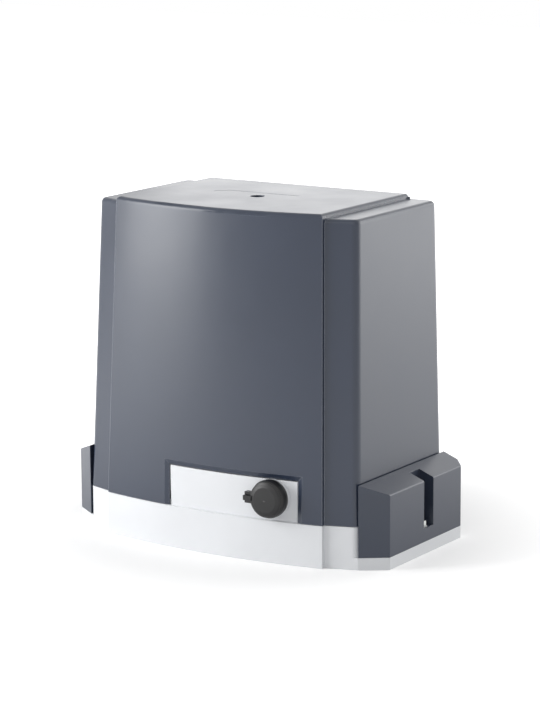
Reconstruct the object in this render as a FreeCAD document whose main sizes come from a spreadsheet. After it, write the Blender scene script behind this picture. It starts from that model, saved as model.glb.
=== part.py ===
import FreeCAD, Part
import os
import re
import Sketcher

# Sliding gate motor, in millimetres.
# Origin: centre of the four anchor slots, on the underside of the base.
# +X runs along the gate, +Y points to the gate and its rack, +Z is up.

SIZES = {
    # base and cover outline
    "overall_width": 400, "foot_front": 81, "foot_back": 70, "foot_corner": 10,
    "flange_thick": 13.3, "apron_height": 46, "base_wall": 6, "base_floor": 8,
    "panel_half": 138, "panel_edge": 115, "panel_bow": 13.5, "shoulder_step": 4,
    "shoulder_half": 172.5, "shoulder_edge": 100, "wall_back": 80,
    "cover_top": 366.4, "band_rise": 5.2, "cover_wall": 3, "cover_seat_gap": 0.3,
    "panel_lean": 14, "panel_taper": 7.5, "side_lean": 9.3, "bow_growth": 4.5,
    "cover_corner": 9, "cover_top_round": 5, "rim_height": 5, "rim_gap": 1.2,
    # window in the cover and the silver panel behind it
    "window_left": -49.5, "window_right": 109.5,
    "window_bevel": 5.5, "panel_inset": 4, "panel_thick": 5, "window_gap": 1,
    "arm_notch_half": 21, "arm_notch_rise": 36, "screw_x": 0, "screw_y": -23, "screw_rad": 3,
    "well_rad": 8, "well_deep": 9,
    # anchors and cable entry
    "anchor_in": 14, "anchor_y": 48, "anchor_wide": 11, "anchor_long": 20,
    "cable_x": -118, "cable_y": -64, "cable_bore": 13,
    # gear train
    "shaft_x": 81, "shaft_z": 71, "shaft_bore": 12.5, "wheel_y": -10,
    "collar_front": 46, "clutch_pin_rad": 2, "spring_wire_rad": 1.2,
    "wheel_space": 0.62, "thread_space": 0.58, "worm_half": 24, "worm_turns": 4,
    "gear_module": 3, "wheel_teeth": 30, "worm_pitch_rad": 12, "wheel_face": 20,
    "rack_module": 4, "pinion_teeth": 18, "pinion_face": 30, "pinion_front": 84,
    "worm_bearing": 16, "relief_deep": 4.5, "rib_thick": 8,
    "case_left": -3, "case_right": 141, "case_front": -46, "case_back": 78,
    "case_over": 11, "case_wall": 8, "case_floor": 19, "chamber_front": -27,
    "chamber_back": 48, "lid_thick": 9,
    "rear_seat": 55, "bearing_outer": 26, "bearing_wide": 15, "seal_wide": 7, "fit_gap": 0.05,
    # motor
    "stator_side": 118, "stator_lift": 25, "stator_tall": 78, "stator_bore": 31,
    "air_gap": 0.6, "motor_shaft": 8.5, "shield_thick": 8, "coil_tall": 15,
    "motor_boss": 7, "fan_rad": 48, "fan_lift": 14, "shield_lift": 18, "tie_offset": 49,
    "tie_rad": 3,
    "strap_half": 56, "strap_wide": 20, "strap_thick": 2.5,
    # release
    "gasket_thick": 1, "lid_seat_rad": 17.5,
    "knob_rad": 20.5, "knob_back": 122.2, "knob_front": 135, "knob_lap": 0.5, "lock_rad": 12,
    "rod_rad": 5, "clutch_travel": 6,
    "hinge_out": 6, "hinge_deep": 6, "cap_thick": 3,
    # limit switch
    "limit_y": 66, "limit_reach": 50,
    # control gear
    "tray_low": 8, "tray_thick": 3, "transformer_x": -110, "transformer_y": 28,
    "tray_left": -160, "tray_right": -48, "tray_y": -40, "tray_top": 250, "board_thick": 1.6,
    "board_gap": 8, "capacitor_rad": 20, "capacitor_tall": 92, "capacitor_x": 122, "capacitor_y": 10,
    # foot caps
    "cap_wall": 2.5, "cap_round": 2, "cap_high_outer": 80, "cap_high_inner": 91, "cap_gap": 0.4,
    "channel_half": 10, "stud_in": 9, "stud_rad": 3, "channel_deep": 18, "channel_floor": 28,
    "stud_over": 16, "stud_boss_rad": 6.5, "stud_boss_gap": 0.6, "nut_rad": 5.8, "nut_tall": 6.5,
    "cover_nut_tall": 5,
}

# Places that follow from the sizes above, so that what seats on a piece moves with it.
DERIVED = {
    "anchor_x": "overall_width / 2 - anchor_in",
    "stud_x": "overall_width / 2 - stud_in",
    "wheel_rad": "gear_module * wheel_teeth / 2",
    "wheel_twist": "wheel_face * gear_module / (4 * worm_pitch_rad * wheel_rad) * 180 / pi",
    "worm_x": "shaft_x - wheel_rad - worm_pitch_rad",
    "case_top": "shaft_z + wheel_rad + gear_module + case_over",
    "lid_top": "case_top + gasket_thick + lid_thick",
    "motor_foot": "lid_top + motor_boss",
    "stator_low": "motor_foot + stator_lift",
    "stator_high": "stator_low + stator_tall",
    "shield_high": "stator_high + shield_lift",
    "fan_low": "shield_high + fan_lift",
    "window_top": "shaft_z + knob_rad - knob_lap",
    "arm_notch_top": "lid_top + arm_notch_rise",
}

doc = FreeCAD.newDocument("SlidingGateMotor")
sheet = doc.addObject("Spreadsheet::Sheet", "Sizes")
for row, (alias, number) in enumerate(SIZES.items(), start=1):
    sheet.set(f"A{row}", alias)
    sheet.set(f"B{row}", str(number))
    sheet.setAlias(f"B{row}", alias)
doc.recompute()

nodes = {}
X, Y, Z = FreeCAD.Vector(1, 0, 0), FreeCAD.Vector(0, 1, 0), FreeCAD.Vector(0, 0, 1)
ALONG_Y = FreeCAD.Rotation(X, -90)


# ---------------------------------------------------------------- helpers

def bind(text):
    """An expression with its derived places spelled out and the sheet's name before each alias."""
    def spell(word):
        if word[0] in DERIVED:
            return f"({bind(DERIVED[word[0]])})"
        return "Sizes." + word[0] if word[0] in SIZES else word[0]
    return re.sub(r"[A-Za-z_]\w*", spell, f"{text}")


def number(text):
    """The present value of an expression in sheet aliases."""
    return float(sheet.evalExpression(bind(text)))


def drive(item, prop, text):
    """Bind one property of a document object to an expression in sheet aliases."""
    item.setExpression(prop, bind(text))


def keep(name, item):
    """Register a finished sub-part under its node name."""
    item.Label = name
    nodes[name] = item
    return item


def new_body(name):
    """A PartDesign body that is also a node."""
    return keep(name, doc.addObject("PartDesign::Body", name))


def origin_plane(body, role):
    return next(f for f in body.Origin.OriginFeatures if f.Role == role)


def new_sketch(body, role, name, height="0", shift=("0", "0")):
    """A sketch on one of the body's origin planes, lifted by height along the plane's normal."""
    sketch = body.newObject("Sketcher::SketchObject", name)
    sketch.AttachmentSupport = [(origin_plane(body, role), "")]
    sketch.MapMode = "FlatFace"
    for axis, text in zip("xyz", (*shift, height)):
        drive(sketch, f"AttachmentOffset.Base.{axis}", text)
    return sketch


def hold(sketch, kind, where, text):
    """Add a driving constraint whose value is an expression."""
    index = sketch.addConstraint(Sketcher.Constraint(kind, *where, number(text)))
    sketch.setExpression(f"Constraints[{index}]", bind(text))


def add_loop(sketch, corners):
    """Close a loop through the corners (x, y[, radius]); a radius makes the edge that leaves
    that corner an arc which bulges to the right of the way round."""
    points = [FreeCAD.Vector(number(c[0]), number(c[1]), 0) for c in corners]
    first = len(sketch.Geometry)
    starts = []
    for i, corner in enumerate(corners):
        a, b = points[i], points[(i + 1) % len(points)]
        if len(corner) > 2:
            radius, chord = number(corner[2]), b - a
            rise = radius - max(radius**2 - chord.Length**2 / 4, 0) ** 0.5
            outward = FreeCAD.Vector(chord.y, -chord.x, 0).normalize()
            edge = Part.Arc(a, (a + b) * 0.5 + outward * rise, b)
        else:
            edge = Part.LineSegment(a, b)
        index = sketch.addGeometry(edge)
        made = sketch.Geometry[index]
        starts.append(1 if (made.StartPoint - a).Length < 1e-6 else 2)
    for i, corner in enumerate(corners):
        index, follower = first + i, first + (i + 1) % len(corners)
        end, start = 3 - starts[i], starts[(i + 1) % len(corners)]
        sketch.addConstraint(Sketcher.Constraint("Coincident", index, end, follower, start))
        hold(sketch, "DistanceX", (-1, 1, index, starts[i]), corner[0])
        hold(sketch, "DistanceY", (-1, 1, index, starts[i]), corner[1])
        if len(corner) > 2:
            hold(sketch, "Radius", (index,), corner[2])
    return sketch


def add_circle(sketch, x, y, radius):
    circle = Part.Circle(FreeCAD.Vector(number(x), number(y), 0), Z, number(radius))
    index = sketch.addGeometry(circle)
    hold(sketch, "DistanceX", (-1, 1, index, 3), x)
    hold(sketch, "DistanceY", (-1, 1, index, 3), y)
    hold(sketch, "Radius", (index,), radius)
    return sketch


def add_slot(sketch, x, y, length, width):
    """An obround whose long side runs along the sketch's first axis."""
    end, side = f"({length} - {width}) / 2", f"{width} / 2"
    ends = [FreeCAD.Vector(number(f"{x} {s} {end}"), number(y), 0) for s in "-+"]
    half = number(side)
    turn = FreeCAD.Vector(0, half, 0)
    first = sketch.addGeometry([
        Part.LineSegment(ends[0] - turn, ends[1] - turn),
        Part.Arc(ends[1] - turn, ends[1] + FreeCAD.Vector(half, 0, 0), ends[1] + turn),
        Part.LineSegment(ends[1] + turn, ends[0] + turn),
        Part.Arc(ends[0] + turn, ends[0] - FreeCAD.Vector(half, 0, 0), ends[0] - turn)])[0]
    for i in range(4):
        sketch.addConstraint(Sketcher.Constraint("Tangent", first + i, 2, first + (i + 1) % 4, 1))
    sketch.addConstraint(Sketcher.Constraint("Horizontal", first))
    sketch.addConstraint(Sketcher.Constraint("Equal", first + 1, first + 3))
    hold(sketch, "Radius", (first + 1,), side)
    hold(sketch, "DistanceX", (-1, 1, first + 3, 3), f"{x} - {end}")
    hold(sketch, "DistanceX", (-1, 1, first + 1, 3), f"{x} + {end}")
    hold(sketch, "DistanceY", (-1, 1, first + 1, 3), y)
    return sketch


def add_hexagon(sketch, corner_rad):
    """A regular hexagon about the sketch's origin, of the given radius over its corners."""
    return add_loop(sketch, [(f"{corner_rad} * cos({60 * i})", f"{corner_rad} * sin({60 * i})")
                             for i in range(6)])


def box_corners(x0, x1, y0, y1):
    return [(x0, y0), (x1, y0), (x1, y1), (x0, y1)]


def extrude(body, kind, sketch, length, backwards=False, midplane=False):
    """A Pad or a Pocket of the given length; backwards runs it the other way."""
    feature = body.newObject(f"PartDesign::{kind}", f"{sketch.Name}_{kind}")
    feature.Profile = sketch
    if length is None:
        feature.Type = "ThroughAll"
    else:
        drive(feature, "Length", length)
    feature.Reversed = backwards
    feature.Midplane = midplane
    sketch.Visibility = False
    return feature


def loft(body, kind, low, high):
    feature = body.newObject(f"PartDesign::{kind}Loft", f"{low.Name}_{kind}Loft")
    feature.Profile = low
    feature.Sections = [high]
    feature.Ruled = True
    return feature


def revolve(body, kind, sketch):
    """Turn a sketch about its own vertical axis."""
    feature = body.newObject(f"PartDesign::{kind}", f"{sketch.Name}_{kind}")
    feature.Profile = sketch
    feature.ReferenceAxis = (sketch, ["V_Axis"])
    feature.Angle = 360
    return feature


def edges_where(feature, test):
    """Names of the feature's edges that pass a test on the edge's own geometry."""
    doc.recompute()
    return [f"Edge{i}" for i, edge in enumerate(feature.Shape.Edges, start=1) if test(edge)]


def dress(body, kind, feature, size, test, second=None):
    """A Fillet or a Chamfer on the edges that pass the test."""
    names = edges_where(feature, test)
    if not names:
        raise ValueError(f"no edge to dress on {feature.Name}")
    made = body.newObject(f"PartDesign::{kind}", f"{feature.Name}_{kind}")
    made.Base = (feature, names)
    if second is not None:
        made.ChamferType = "Two distances"
        drive(made, "Size2", second)
    drive(made, "Radius" if kind == "Fillet" else "Size", size)
    doc.recompute()
    return made


def polar(body, feature, count, sketch):
    """Repeat a feature about the vertical axis of a sketch."""
    made = body.newObject("PartDesign::PolarPattern", f"{feature.Name}_ring")
    made.Originals = [feature]
    made.Axis = (sketch, ["N_Axis"])
    made.Angle = 360
    drive(made, "Occurrences", count)
    body.Tip = made
    return made


def put(item, x="0", y="0", z="0", rotation=None):
    """Place an object; its position is bound to the sheet."""
    if rotation is not None:
        item.Placement = FreeCAD.Placement(FreeCAD.Vector(), rotation)
    for axis, text in zip("xyz", (x, y, z)):
        drive(item, f"Placement.Base.{axis}", text)
    return item


def turned(name, profile, place=("0", "0", "0"), rotation=None, register=True):
    """A lathe part from a profile of (radius, height) corners about its own Z axis."""
    body = doc.addObject("PartDesign::Body", name)
    if register:
        keep(name, body)
    sketch = add_loop(new_sketch(body, "XZ_Plane", f"{name}_profile"), profile)
    revolve(body, "Revolution", sketch)
    put(body, *place, rotation=rotation)
    return body


def slab(name, outline, low, thick, holes=(), place=("0", "0", "0"), rotation=None):
    """A flat piece: a closed outline with round holes, raised along Z from low."""
    body = new_body(name)
    sketch = add_loop(new_sketch(body, "XY_Plane", f"{name}_outline", low), outline)
    for hole in holes:
        add_circle(sketch, *hole)
    extrude(body, "Pad", sketch, thick)
    put(body, *place, rotation=rotation)
    return body


def block(name, x0, x1, y0, y1, z0, z1):
    """A plain box between six planes, as raw material for a boolean."""
    box = doc.addObject("Part::Box", name)
    for prop, low, high in (("Length", x0, x1), ("Width", y0, y1), ("Height", z0, z1)):
        drive(box, prop, f"({high}) - ({low})")
    return put(box, x0, y0, z0)


def rod(name, radius, low, high, x="0", y="0", z="0", rotation=None):
    """A plain cylinder along its own Z axis from low to high."""
    item = doc.addObject("Part::Cylinder", name)
    drive(item, "Radius", radius)
    drive(item, "Height", f"({high}) - ({low})")
    if rotation is None:
        return put(item, x, y, low)
    return put(item, x, low if rotation is ALONG_Y else y, z, rotation)


def group(name, pattern, places, rotation=None):
    """A node of separate equal pieces: links to one pattern piece at each place."""
    links = []
    for i, place in enumerate(places):
        link = doc.addObject("App::Link", f"{name}_{i + 1}")
        link.LinkedObject = pattern
        put(link, *place, rotation=rotation)
        links.append(link)
    item = doc.addObject("Part::Compound", name)
    item.Links = links
    return keep(name, item)


def bolt(name, shank, length, head, head_tall, socket=True):
    """Pattern cap screw: the head's seat is at the origin and the shank runs down -Z."""
    depth = head_tall * 0.6
    inner = head * 0.5
    profile = [("0", f"{-length}"), (f"{shank}", f"{-length}"), (f"{shank}", "0"), (f"{head}", "0"),
               (f"{head}", f"{head_tall}")]
    if socket:
        profile += [(f"{inner}", f"{head_tall}"), (f"{inner}", f"{head_tall - depth}"),
                    ("0", f"{head_tall - depth}")]
    else:
        profile += [("0", f"{head_tall}")]
    return turned(name, profile, register=False)


def is_upright(edge, lean=0.1):
    a, b = edge.firstVertex().Point, edge.lastVertex().Point
    run = b - a
    return run.Length > 1 and abs(run.z) > run.Length * (1 - lean)


def middle(edge):
    return edge.CenterOfMass


# ---------------------------------------------------------------- outline shared by base and cover

def skirt_corners(half, edge, bow, shoulder, shoulder_edge, back, inset="0"):
    """Plan outline of the housing: a bowed panel standing one step proud of two raked shoulders,
    whose corners are rounded; the rounding shrinks with the inset, so walls stay even."""
    radius = f"(({half})^2 + ({bow})^2) / (2 * ({bow}))"
    step, inset = f"-({edge}) + shoulder_step", f"({inset})"
    run, rise = f"(({shoulder}) - ({half}))", f"(({edge}) - shoulder_step - ({shoulder_edge}))"
    slant, corner = f"sqrt({run}^2 + {rise}^2)", f"max(cover_corner - {inset}; 0.5)"
    trim = f"({corner} * ({slant} - {rise}) / {run})"
    side, rear = f"(({shoulder}) - {inset})", f"(({back}) - {inset})"
    front = f"({inset} - ({shoulder_edge}))"
    raked = (f"({side} - {trim} * {run} / {slant})", f"{front} - {trim} * {rise} / {slant}")
    return [(f"-{side}", f"{front} + {trim}", corner), (f"-{raked[0]}", raked[1]),
            (f"-({half}) + {inset}", f"{step} + {inset}"),
            (f"-({half}) + {inset}", f"-({edge}) + {inset}", radius),
            (f"({half}) - {inset}", f"-({edge}) + {inset}"),
            (f"({half}) - {inset}", f"{step} + {inset}"),
            (raked[0], raked[1], corner), (side, f"{front} + {trim}"),
            (side, f"{rear} - {corner}", corner), (f"{side} - {corner}", rear),
            (f"-{side} + {corner}", rear, corner), (f"-{side}", f"{rear} - {corner}")]


LOW = ("panel_half", "panel_edge", "panel_bow", "shoulder_half", "shoulder_edge", "wall_back")
HIGH = ("(panel_half - panel_taper)", "(panel_edge - panel_lean)", "(panel_bow + bow_growth)",
        "(shoulder_half - side_lean)", "(shoulder_edge - panel_lean)", "wall_back")
COVER_LOW = "apron_height + cover_seat_gap"


def bowed_y(x, inset):
    """Height in plan of the panel's bow, set in by a distance, at a place along X."""
    radius = "((panel_half^2 + panel_bow^2) / (2 * panel_bow))"
    return f"({radius} - panel_edge - panel_bow - sqrt(({radius} - ({inset}))^2 - ({x})^2))"


def bowed_radius(inset):
    return f"(panel_half^2 + panel_bow^2) / (2 * panel_bow) - ({inset})"


# ---------------------------------------------------------------- cover

def make_cover():
    """Moulded cover: ruled loft with draft, raised central band, hollow, with its two windows."""
    body = new_body("cover")
    low = add_loop(new_sketch(body, "XY_Plane", "cover_low", COVER_LOW), skirt_corners(*LOW))
    high = add_loop(new_sketch(body, "XY_Plane", "cover_high", "cover_top"), skirt_corners(*HIGH))
    loft(body, "Additive", low, high)
    half, edge, bow = HIGH[:3]
    band = add_loop(new_sketch(body, "XY_Plane", "cover_band", "cover_top"), [
        (f"-{half}", f"-{edge}", f"({half}^2 + {bow}^2) / (2 * {bow})"), (half, f"-{edge}"),
        (half, "wall_back - band_rise"), (f"-{half}", "wall_back - band_rise")])
    raised = extrude(body, "Pad", band, "band_rise")
    doc.recompute()
    deep, tall = number("wall_back"), number("cover_top")
    rounded = dress(body, "Fillet", raised, "cover_top_round", lambda e: abs(
        middle(e).z - tall - number("band_rise")) < 0.01 and middle(e).y < deep - 15)
    dress(body, "Fillet", rounded, "cover_top_round", lambda e: abs(middle(e).z - tall) < 0.01
          and abs(middle(e).x) > number("panel_half - panel_taper") + 1
          and e.BoundBox.XLength + e.BoundBox.YLength > 3)
    inner_low = add_loop(new_sketch(body, "XY_Plane", "cover_inner_low", f"{COVER_LOW} - 1"),
                         skirt_corners(*LOW, inset="cover_wall"))
    inner_high = add_loop(new_sketch(body, "XY_Plane", "cover_inner_high", "cover_top - cover_wall"),
                          skirt_corners(*HIGH, inset="cover_wall"))
    loft(body, "Subtractive", inner_low, inner_high)
    window = add_loop(new_sketch(body, "XZ_Plane", "cover_window"), box_corners(
        "window_left", "window_right", "apron_height - 5", "window_top"))
    opening = extrude(body, "Pocket", window, None, backwards=True)
    doc.recompute()
    dress(body, "Chamfer", opening, "window_bevel", on_window_rim, "cover_wall * 0.8")
    hollow_band(body)
    rear_windows(body)
    screw_well(body)
    arc = add_loop(new_sketch(body, "XY_Plane", "top_groove", "cover_top + band_rise + 1"), [
        ("-63", "-13"), ("-61.8", "-14"), ("-50.2", "-0.8"), ("40", "-0.8"), ("40", "0.8"), ("-51", "0.8")])
    extrude(body, "Pocket", arc, "1.5")


def hollow_band(body):
    """The raised band is hollow from inside, so the top keeps one wall thickness."""
    half, edge, bow = HIGH[:3]
    inset = "cover_wall + cover_top_round"
    sketch = add_loop(new_sketch(body, "XY_Plane", "band_hollow", "cover_top - cover_wall - 1"), [
        (f"-{half} + {inset}", f"-{edge} + {inset}", f"({half}^2 + {bow}^2) / (2 * {bow})"),
        (f"{half} - {inset}", f"-{edge} + {inset}"),
        (f"{half} - {inset}", f"wall_back - band_rise - {inset}"),
        (f"-{half} + {inset}", f"wall_back - band_rise - {inset}")])
    extrude(body, "Pocket", sketch, "band_rise + 1", backwards=True)


def rear_windows(body):
    """Notches in the rear wall, open at the bottom, for the gear case and the limit switch arm."""
    gap = "window_gap"
    wide = add_loop(new_sketch(body, "XZ_Plane", "rear_notch", "-case_back + 4"), box_corners(
        f"case_left - {gap}", f"case_right + {gap}", "apron_height - 5",
        f"lid_top + {gap}"))
    extrude(body, "Pocket", wide, "20")
    slim = add_loop(new_sketch(body, "XZ_Plane", "arm_notch", "-case_back + 4"), box_corners(
        "shaft_x - arm_notch_half", "shaft_x + arm_notch_half", "apron_height - 5", "arm_notch_top"))
    extrude(body, "Pocket", slim, "20")


def screw_well(body):
    """Well for the fixing screw, hanging from the top's underside, with its bore."""
    well = add_circle(new_sketch(body, "XY_Plane", "well_wall", "cover_top - well_deep - cover_wall"),
                      "screw_x", "screw_y", "well_rad + cover_wall")
    extrude(body, "Pad", well, "well_deep + cover_wall + band_rise - 1")
    sink = add_circle(new_sketch(body, "XY_Plane", "well_sink", "cover_top - well_deep"),
                      "screw_x", "screw_y", "well_rad")
    extrude(body, "Pocket", sink, "well_deep + band_rise + 1", backwards=True)
    bore = add_circle(new_sketch(body, "XY_Plane", "well_bore", "cover_top - well_deep - cover_wall - 1"),
                      "screw_x", "screw_y", "screw_rad + 0.4")
    extrude(body, "Pocket", bore, "cover_wall + 2", backwards=True)


def on_window_rim(edge):
    """True for the outer edges of the front window: its top and its two sides."""
    box, point = edge.BoundBox, edge.valueAt((edge.FirstParameter + edge.LastParameter) / 2)
    if point.y > -number("panel_edge") + 1 or point.z > number("window_top") + 1:
        return False
    inside = number("window_left") - 1 < point.x < number("window_right") + 1
    outer = point.y < number(bowed_y(f"{point.x}", "cover_wall * 0.5")) + 0.6
    return inside and outer and (box.ZLength > 30 or abs(point.z - number("window_top")) < 0.5)


# ---------------------------------------------------------------- die-cast base

def foot_corners():
    """Outline of the flange: the housing outline with a raked ear on each side."""
    radius = "(panel_half^2 + panel_bow^2) / (2 * panel_bow)"
    side, step = "overall_width / 2", "-panel_edge + shoulder_step"
    right = [("panel_half", step), ("shoulder_half", "-shoulder_edge"), (side, "-foot_front"),
             (side, "foot_back"), (f"{side} - foot_corner", "wall_back")]
    left = [(f"-({x})", y) for x, y in reversed(right)]
    return [("-panel_half", "-panel_edge", radius), ("panel_half", "-panel_edge"), *right, *left]


def make_base():
    """One casting: flange, hollow apron, gear chamber, bearing seats, front panel and cable entry."""
    body = new_body("gearcase_base")
    flange = add_loop(new_sketch(body, "XY_Plane", "flange"), foot_corners())
    extrude(body, "Pad", flange, "flange_thick")
    low = add_loop(new_sketch(body, "XY_Plane", "apron_low", "flange_thick"), skirt_corners(*LOW))
    high = add_loop(new_sketch(body, "XY_Plane", "apron_high", "apron_height"), skirt_corners(*LOW))
    loft(body, "Additive", low, high)
    tray = add_loop(new_sketch(body, "XY_Plane", "tray", "base_floor"),
                    skirt_corners(*LOW, inset="base_wall"))
    extrude(body, "Pocket", tray, "apron_height", backwards=True)
    add_rim(body)
    add_case(body)
    add_front_panel(body)
    bore_case(body)
    slots = new_sketch(body, "XY_Plane", "anchor_slots", "-1")
    for x in ("-anchor_x", "anchor_x"):
        for y in ("-anchor_y", "anchor_y"):
            add_slot(slots, x, y, "anchor_long", "anchor_wide")
    extrude(body, "Pocket", slots, "flange_thick + 2", backwards=True)
    bosses = new_sketch(body, "XY_Plane", "stud_bosses", "flange_thick - 1")
    taps = new_sketch(body, "XY_Plane", "stud_taps", "1.9")
    for x in ("-stud_x", "stud_x"):
        add_circle(bosses, x, "0", "stud_boss_rad")
        add_circle(taps, x, "0", "stud_rad + fit_gap")
    extrude(body, "Pad", bosses, "channel_floor - flange_thick + 1")
    extrude(body, "Pocket", taps, "channel_floor", backwards=True)
    entry = add_circle(new_sketch(body, "XY_Plane", "cable_boss", "base_floor - 1"),
                       "cable_x", "cable_y", "cable_bore + 4")
    extrude(body, "Pad", entry, "12")
    bore = add_circle(new_sketch(body, "XY_Plane", "cable_hole", "-1"),
                      "cable_x", "cable_y", "cable_bore")
    extrude(body, "Pocket", bore, "base_floor + 20", backwards=True)
    relieve_underside(body)


def relieve_underside(body):
    """Shallow pockets in the underside, which leave ribs and a solid pad round the cable's hole."""
    relief = new_sketch(body, "XY_Plane", "relief", "-1")
    wide = "((shoulder_half - rib_thick) * 2 - rib_thick * 3) / 4"
    for column in range(4):
        left = f"rib_thick - shoulder_half + ({wide} + rib_thick) * {column}"
        front = "cable_y + cable_bore + 4 + rib_thick" if column == 0 else "14 - shoulder_edge"
        for y0, y1 in ((front, "-rib_thick / 2"), ("rib_thick / 2", "wall_back - 12")):
            add_loop(relief, box_corners(left, f"{left} + {wide}", y0, y1))
    extrude(body, "Pocket", relief, "relief_deep + 1", backwards=True)


def add_rim(body):
    """Low rim on the apron that locates the cover from inside."""
    inset = "cover_wall + rim_gap"
    rim = new_sketch(body, "XY_Plane", "rim", "apron_height - 3")
    add_loop(rim, skirt_corners(*LOW, inset=inset))
    add_loop(rim, skirt_corners(*LOW, inset="base_wall + 1"))
    extrude(body, "Pad", rim, "rim_height + 3")


def add_case(body):
    """Gear case with its chamber, standing on the floor of the base."""
    outer = add_loop(new_sketch(body, "XY_Plane", "case"), box_corners(
        "case_left", "case_right", "case_front", "case_back"))
    extrude(body, "Pad", outer, "case_top")
    boss = add_circle(new_sketch(body, "XZ_Plane", "release_boss", "-case_front - 1"),
                      "shaft_x", "shaft_z", "lock_rad + 9")
    extrude(body, "Pad", boss, "panel_edge + case_front - 4")
    chamber = add_loop(new_sketch(body, "XY_Plane", "chamber", "case_floor"), box_corners(
        "case_left + case_wall", "case_right - case_wall", "chamber_front", "chamber_back"))
    extrude(body, "Pocket", chamber, "case_top", backwards=True)
    doc.recompute()
    half = number("(case_right - case_left) / 2")
    centre = number("(case_right + case_left) / 2")
    top = number("case_top")
    dress(body, "Fillet", body.Tip, "case_wall * 0.75", lambda e: is_upright(e)
          and abs(abs(middle(e).x - centre) - half) < 0.01 and e.BoundBox.ZMax > top - 1)


def add_front_panel(body):
    """Curved panel that fills the cover's window, with its two side walls and a foot."""
    left, right = "window_left + window_gap", "window_right - window_gap"
    outer, inner = "panel_inset", "panel_inset + panel_thick"
    panel = add_loop(new_sketch(body, "XY_Plane", "front_panel", "base_floor - 1"), [
        (left, bowed_y(left, outer), bowed_radius(outer)), (right, bowed_y(right, outer)),
        (right, "case_front + 1"), (f"{right} - panel_thick", "case_front + 1"),
        (f"{right} - panel_thick", bowed_y(f"{right} - panel_thick", inner)),
        (f"{left} + panel_thick", bowed_y(f"{left} + panel_thick", inner)),
        (f"{left} + panel_thick", "case_front - 28"), (left, "case_front - 28")])
    extrude(body, "Pad", panel, "window_top - window_gap - base_floor + 1")


def bore_case(body):
    """Seats for the output shaft's bearings and seal, the release bore and the worm's lower seat."""
    about_shaft = new_sketch(body, "XY_Plane", "shaft_bores", "shaft_z", shift=("shaft_x", "0"))
    seat, lip = "bearing_outer + fit_gap", "bearing_outer - 5"
    add_loop(about_shaft, [
        ("0", "chamber_front - bearing_wide"), (seat, "chamber_front - bearing_wide"),
        (seat, "chamber_front + 1"), (lip, "chamber_front + 1"), (lip, "rear_seat"),
        (seat, "rear_seat"), (seat, "case_back + 1"), ("0", "case_back + 1")])
    revolve(body, "Groove", about_shaft)
    seat_pad = add_circle(new_sketch(body, "XZ_Plane", "release_pad", "panel_edge - 5"),
                          "shaft_x", "shaft_z", "knob_rad - 1")
    extrude(body, "Pad", seat_pad, "knob_back - panel_edge + 4.9")
    release = add_circle(new_sketch(body, "XZ_Plane", "release_bore", "-case_front - 6"),
                         "shaft_x", "shaft_z", "lock_rad + fit_gap")
    extrude(body, "Pocket", release, "panel_edge + panel_bow", backwards=True)
    seat = add_circle(new_sketch(body, "XY_Plane", "worm_seat", "case_floor - 10"),
                      "worm_x", "wheel_y", "worm_bearing + fit_gap")
    extrude(body, "Pocket", seat, "20", backwards=True)


# ---------------------------------------------------------------- gear case lid and gasket

LID_LOW = "case_top + gasket_thick"
MOTOR_LEFT, MOTOR_FRONT = "worm_x - stator_side / 2", "wheel_y - stator_side / 2"
MOTOR_BACK = "wheel_y + stator_side / 2"
LID_PLAN = [(MOTOR_LEFT, MOTOR_FRONT), ("case_right", MOTOR_FRONT),
            ("case_right", "case_back - 0.5"), ("case_left", "case_back - 0.5"),
            ("case_left", MOTOR_BACK), (MOTOR_LEFT, MOTOR_BACK)]
LID_SCREWS = [(x, y) for y in ("chamber_front - 9", "chamber_back + 12")
              for x in ("case_left + 7", "(case_left + case_right) / 2 - 20", "case_right - 7")]


def make_lid():
    """Machined lid that closes the chamber, carries the worm's upper bearing and the motor."""
    gasket = slab("case_gasket", box_corners("case_left", "case_right", "case_front",
                                             "case_back - 0.5"), "case_top", "gasket_thick")
    opening = add_loop(new_sketch(gasket, "XY_Plane", "gasket_opening", "case_top - 1"), box_corners(
        "case_left + case_wall", "case_right - case_wall", "chamber_front", "chamber_back"))
    extrude(gasket, "Pocket", opening, "gasket_thick + 2", backwards=True)
    lid = slab("gearcase_lid", LID_PLAN, LID_LOW, "lid_thick")
    doc.recompute()
    dress(lid, "Fillet", lid.Tip, "case_wall * 0.75", is_upright)
    boss = add_circle(new_sketch(lid, "XY_Plane", "lid_bearing_boss", "lid_top"),
                      "worm_x", "wheel_y", "lid_seat_rad + 7")
    extrude(lid, "Pad", boss, "motor_boss")
    seat = add_circle(new_sketch(lid, "XY_Plane", "lid_bearing_seat", f"{LID_LOW} - 1"),
                      "worm_x", "wheel_y", "lid_seat_rad + fit_gap")
    extrude(lid, "Pocket", seat, "12", backwards=True)
    bore = add_circle(new_sketch(lid, "XY_Plane", "lid_bore", LID_LOW), "worm_x", "wheel_y",
                      "motor_shaft + 1.5")
    extrude(lid, "Pocket", bore, "motor_foot", backwards=True)
    holes = new_sketch(lid, "XY_Plane", "lid_screw_holes", f"{LID_LOW} - 1")
    for x, y in LID_SCREWS:
        add_circle(holes, x, y, "2.6")
    extrude(lid, "Pocket", holes, "lid_thick + 2", backwards=True)
    screw = bolt("lid_screw", 2.5, 9, 4.5, 5)
    group("lid_screws", screw, [(x, y, "lid_top") for x, y in LID_SCREWS])


# ---------------------------------------------------------------- output shaft and gears

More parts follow.
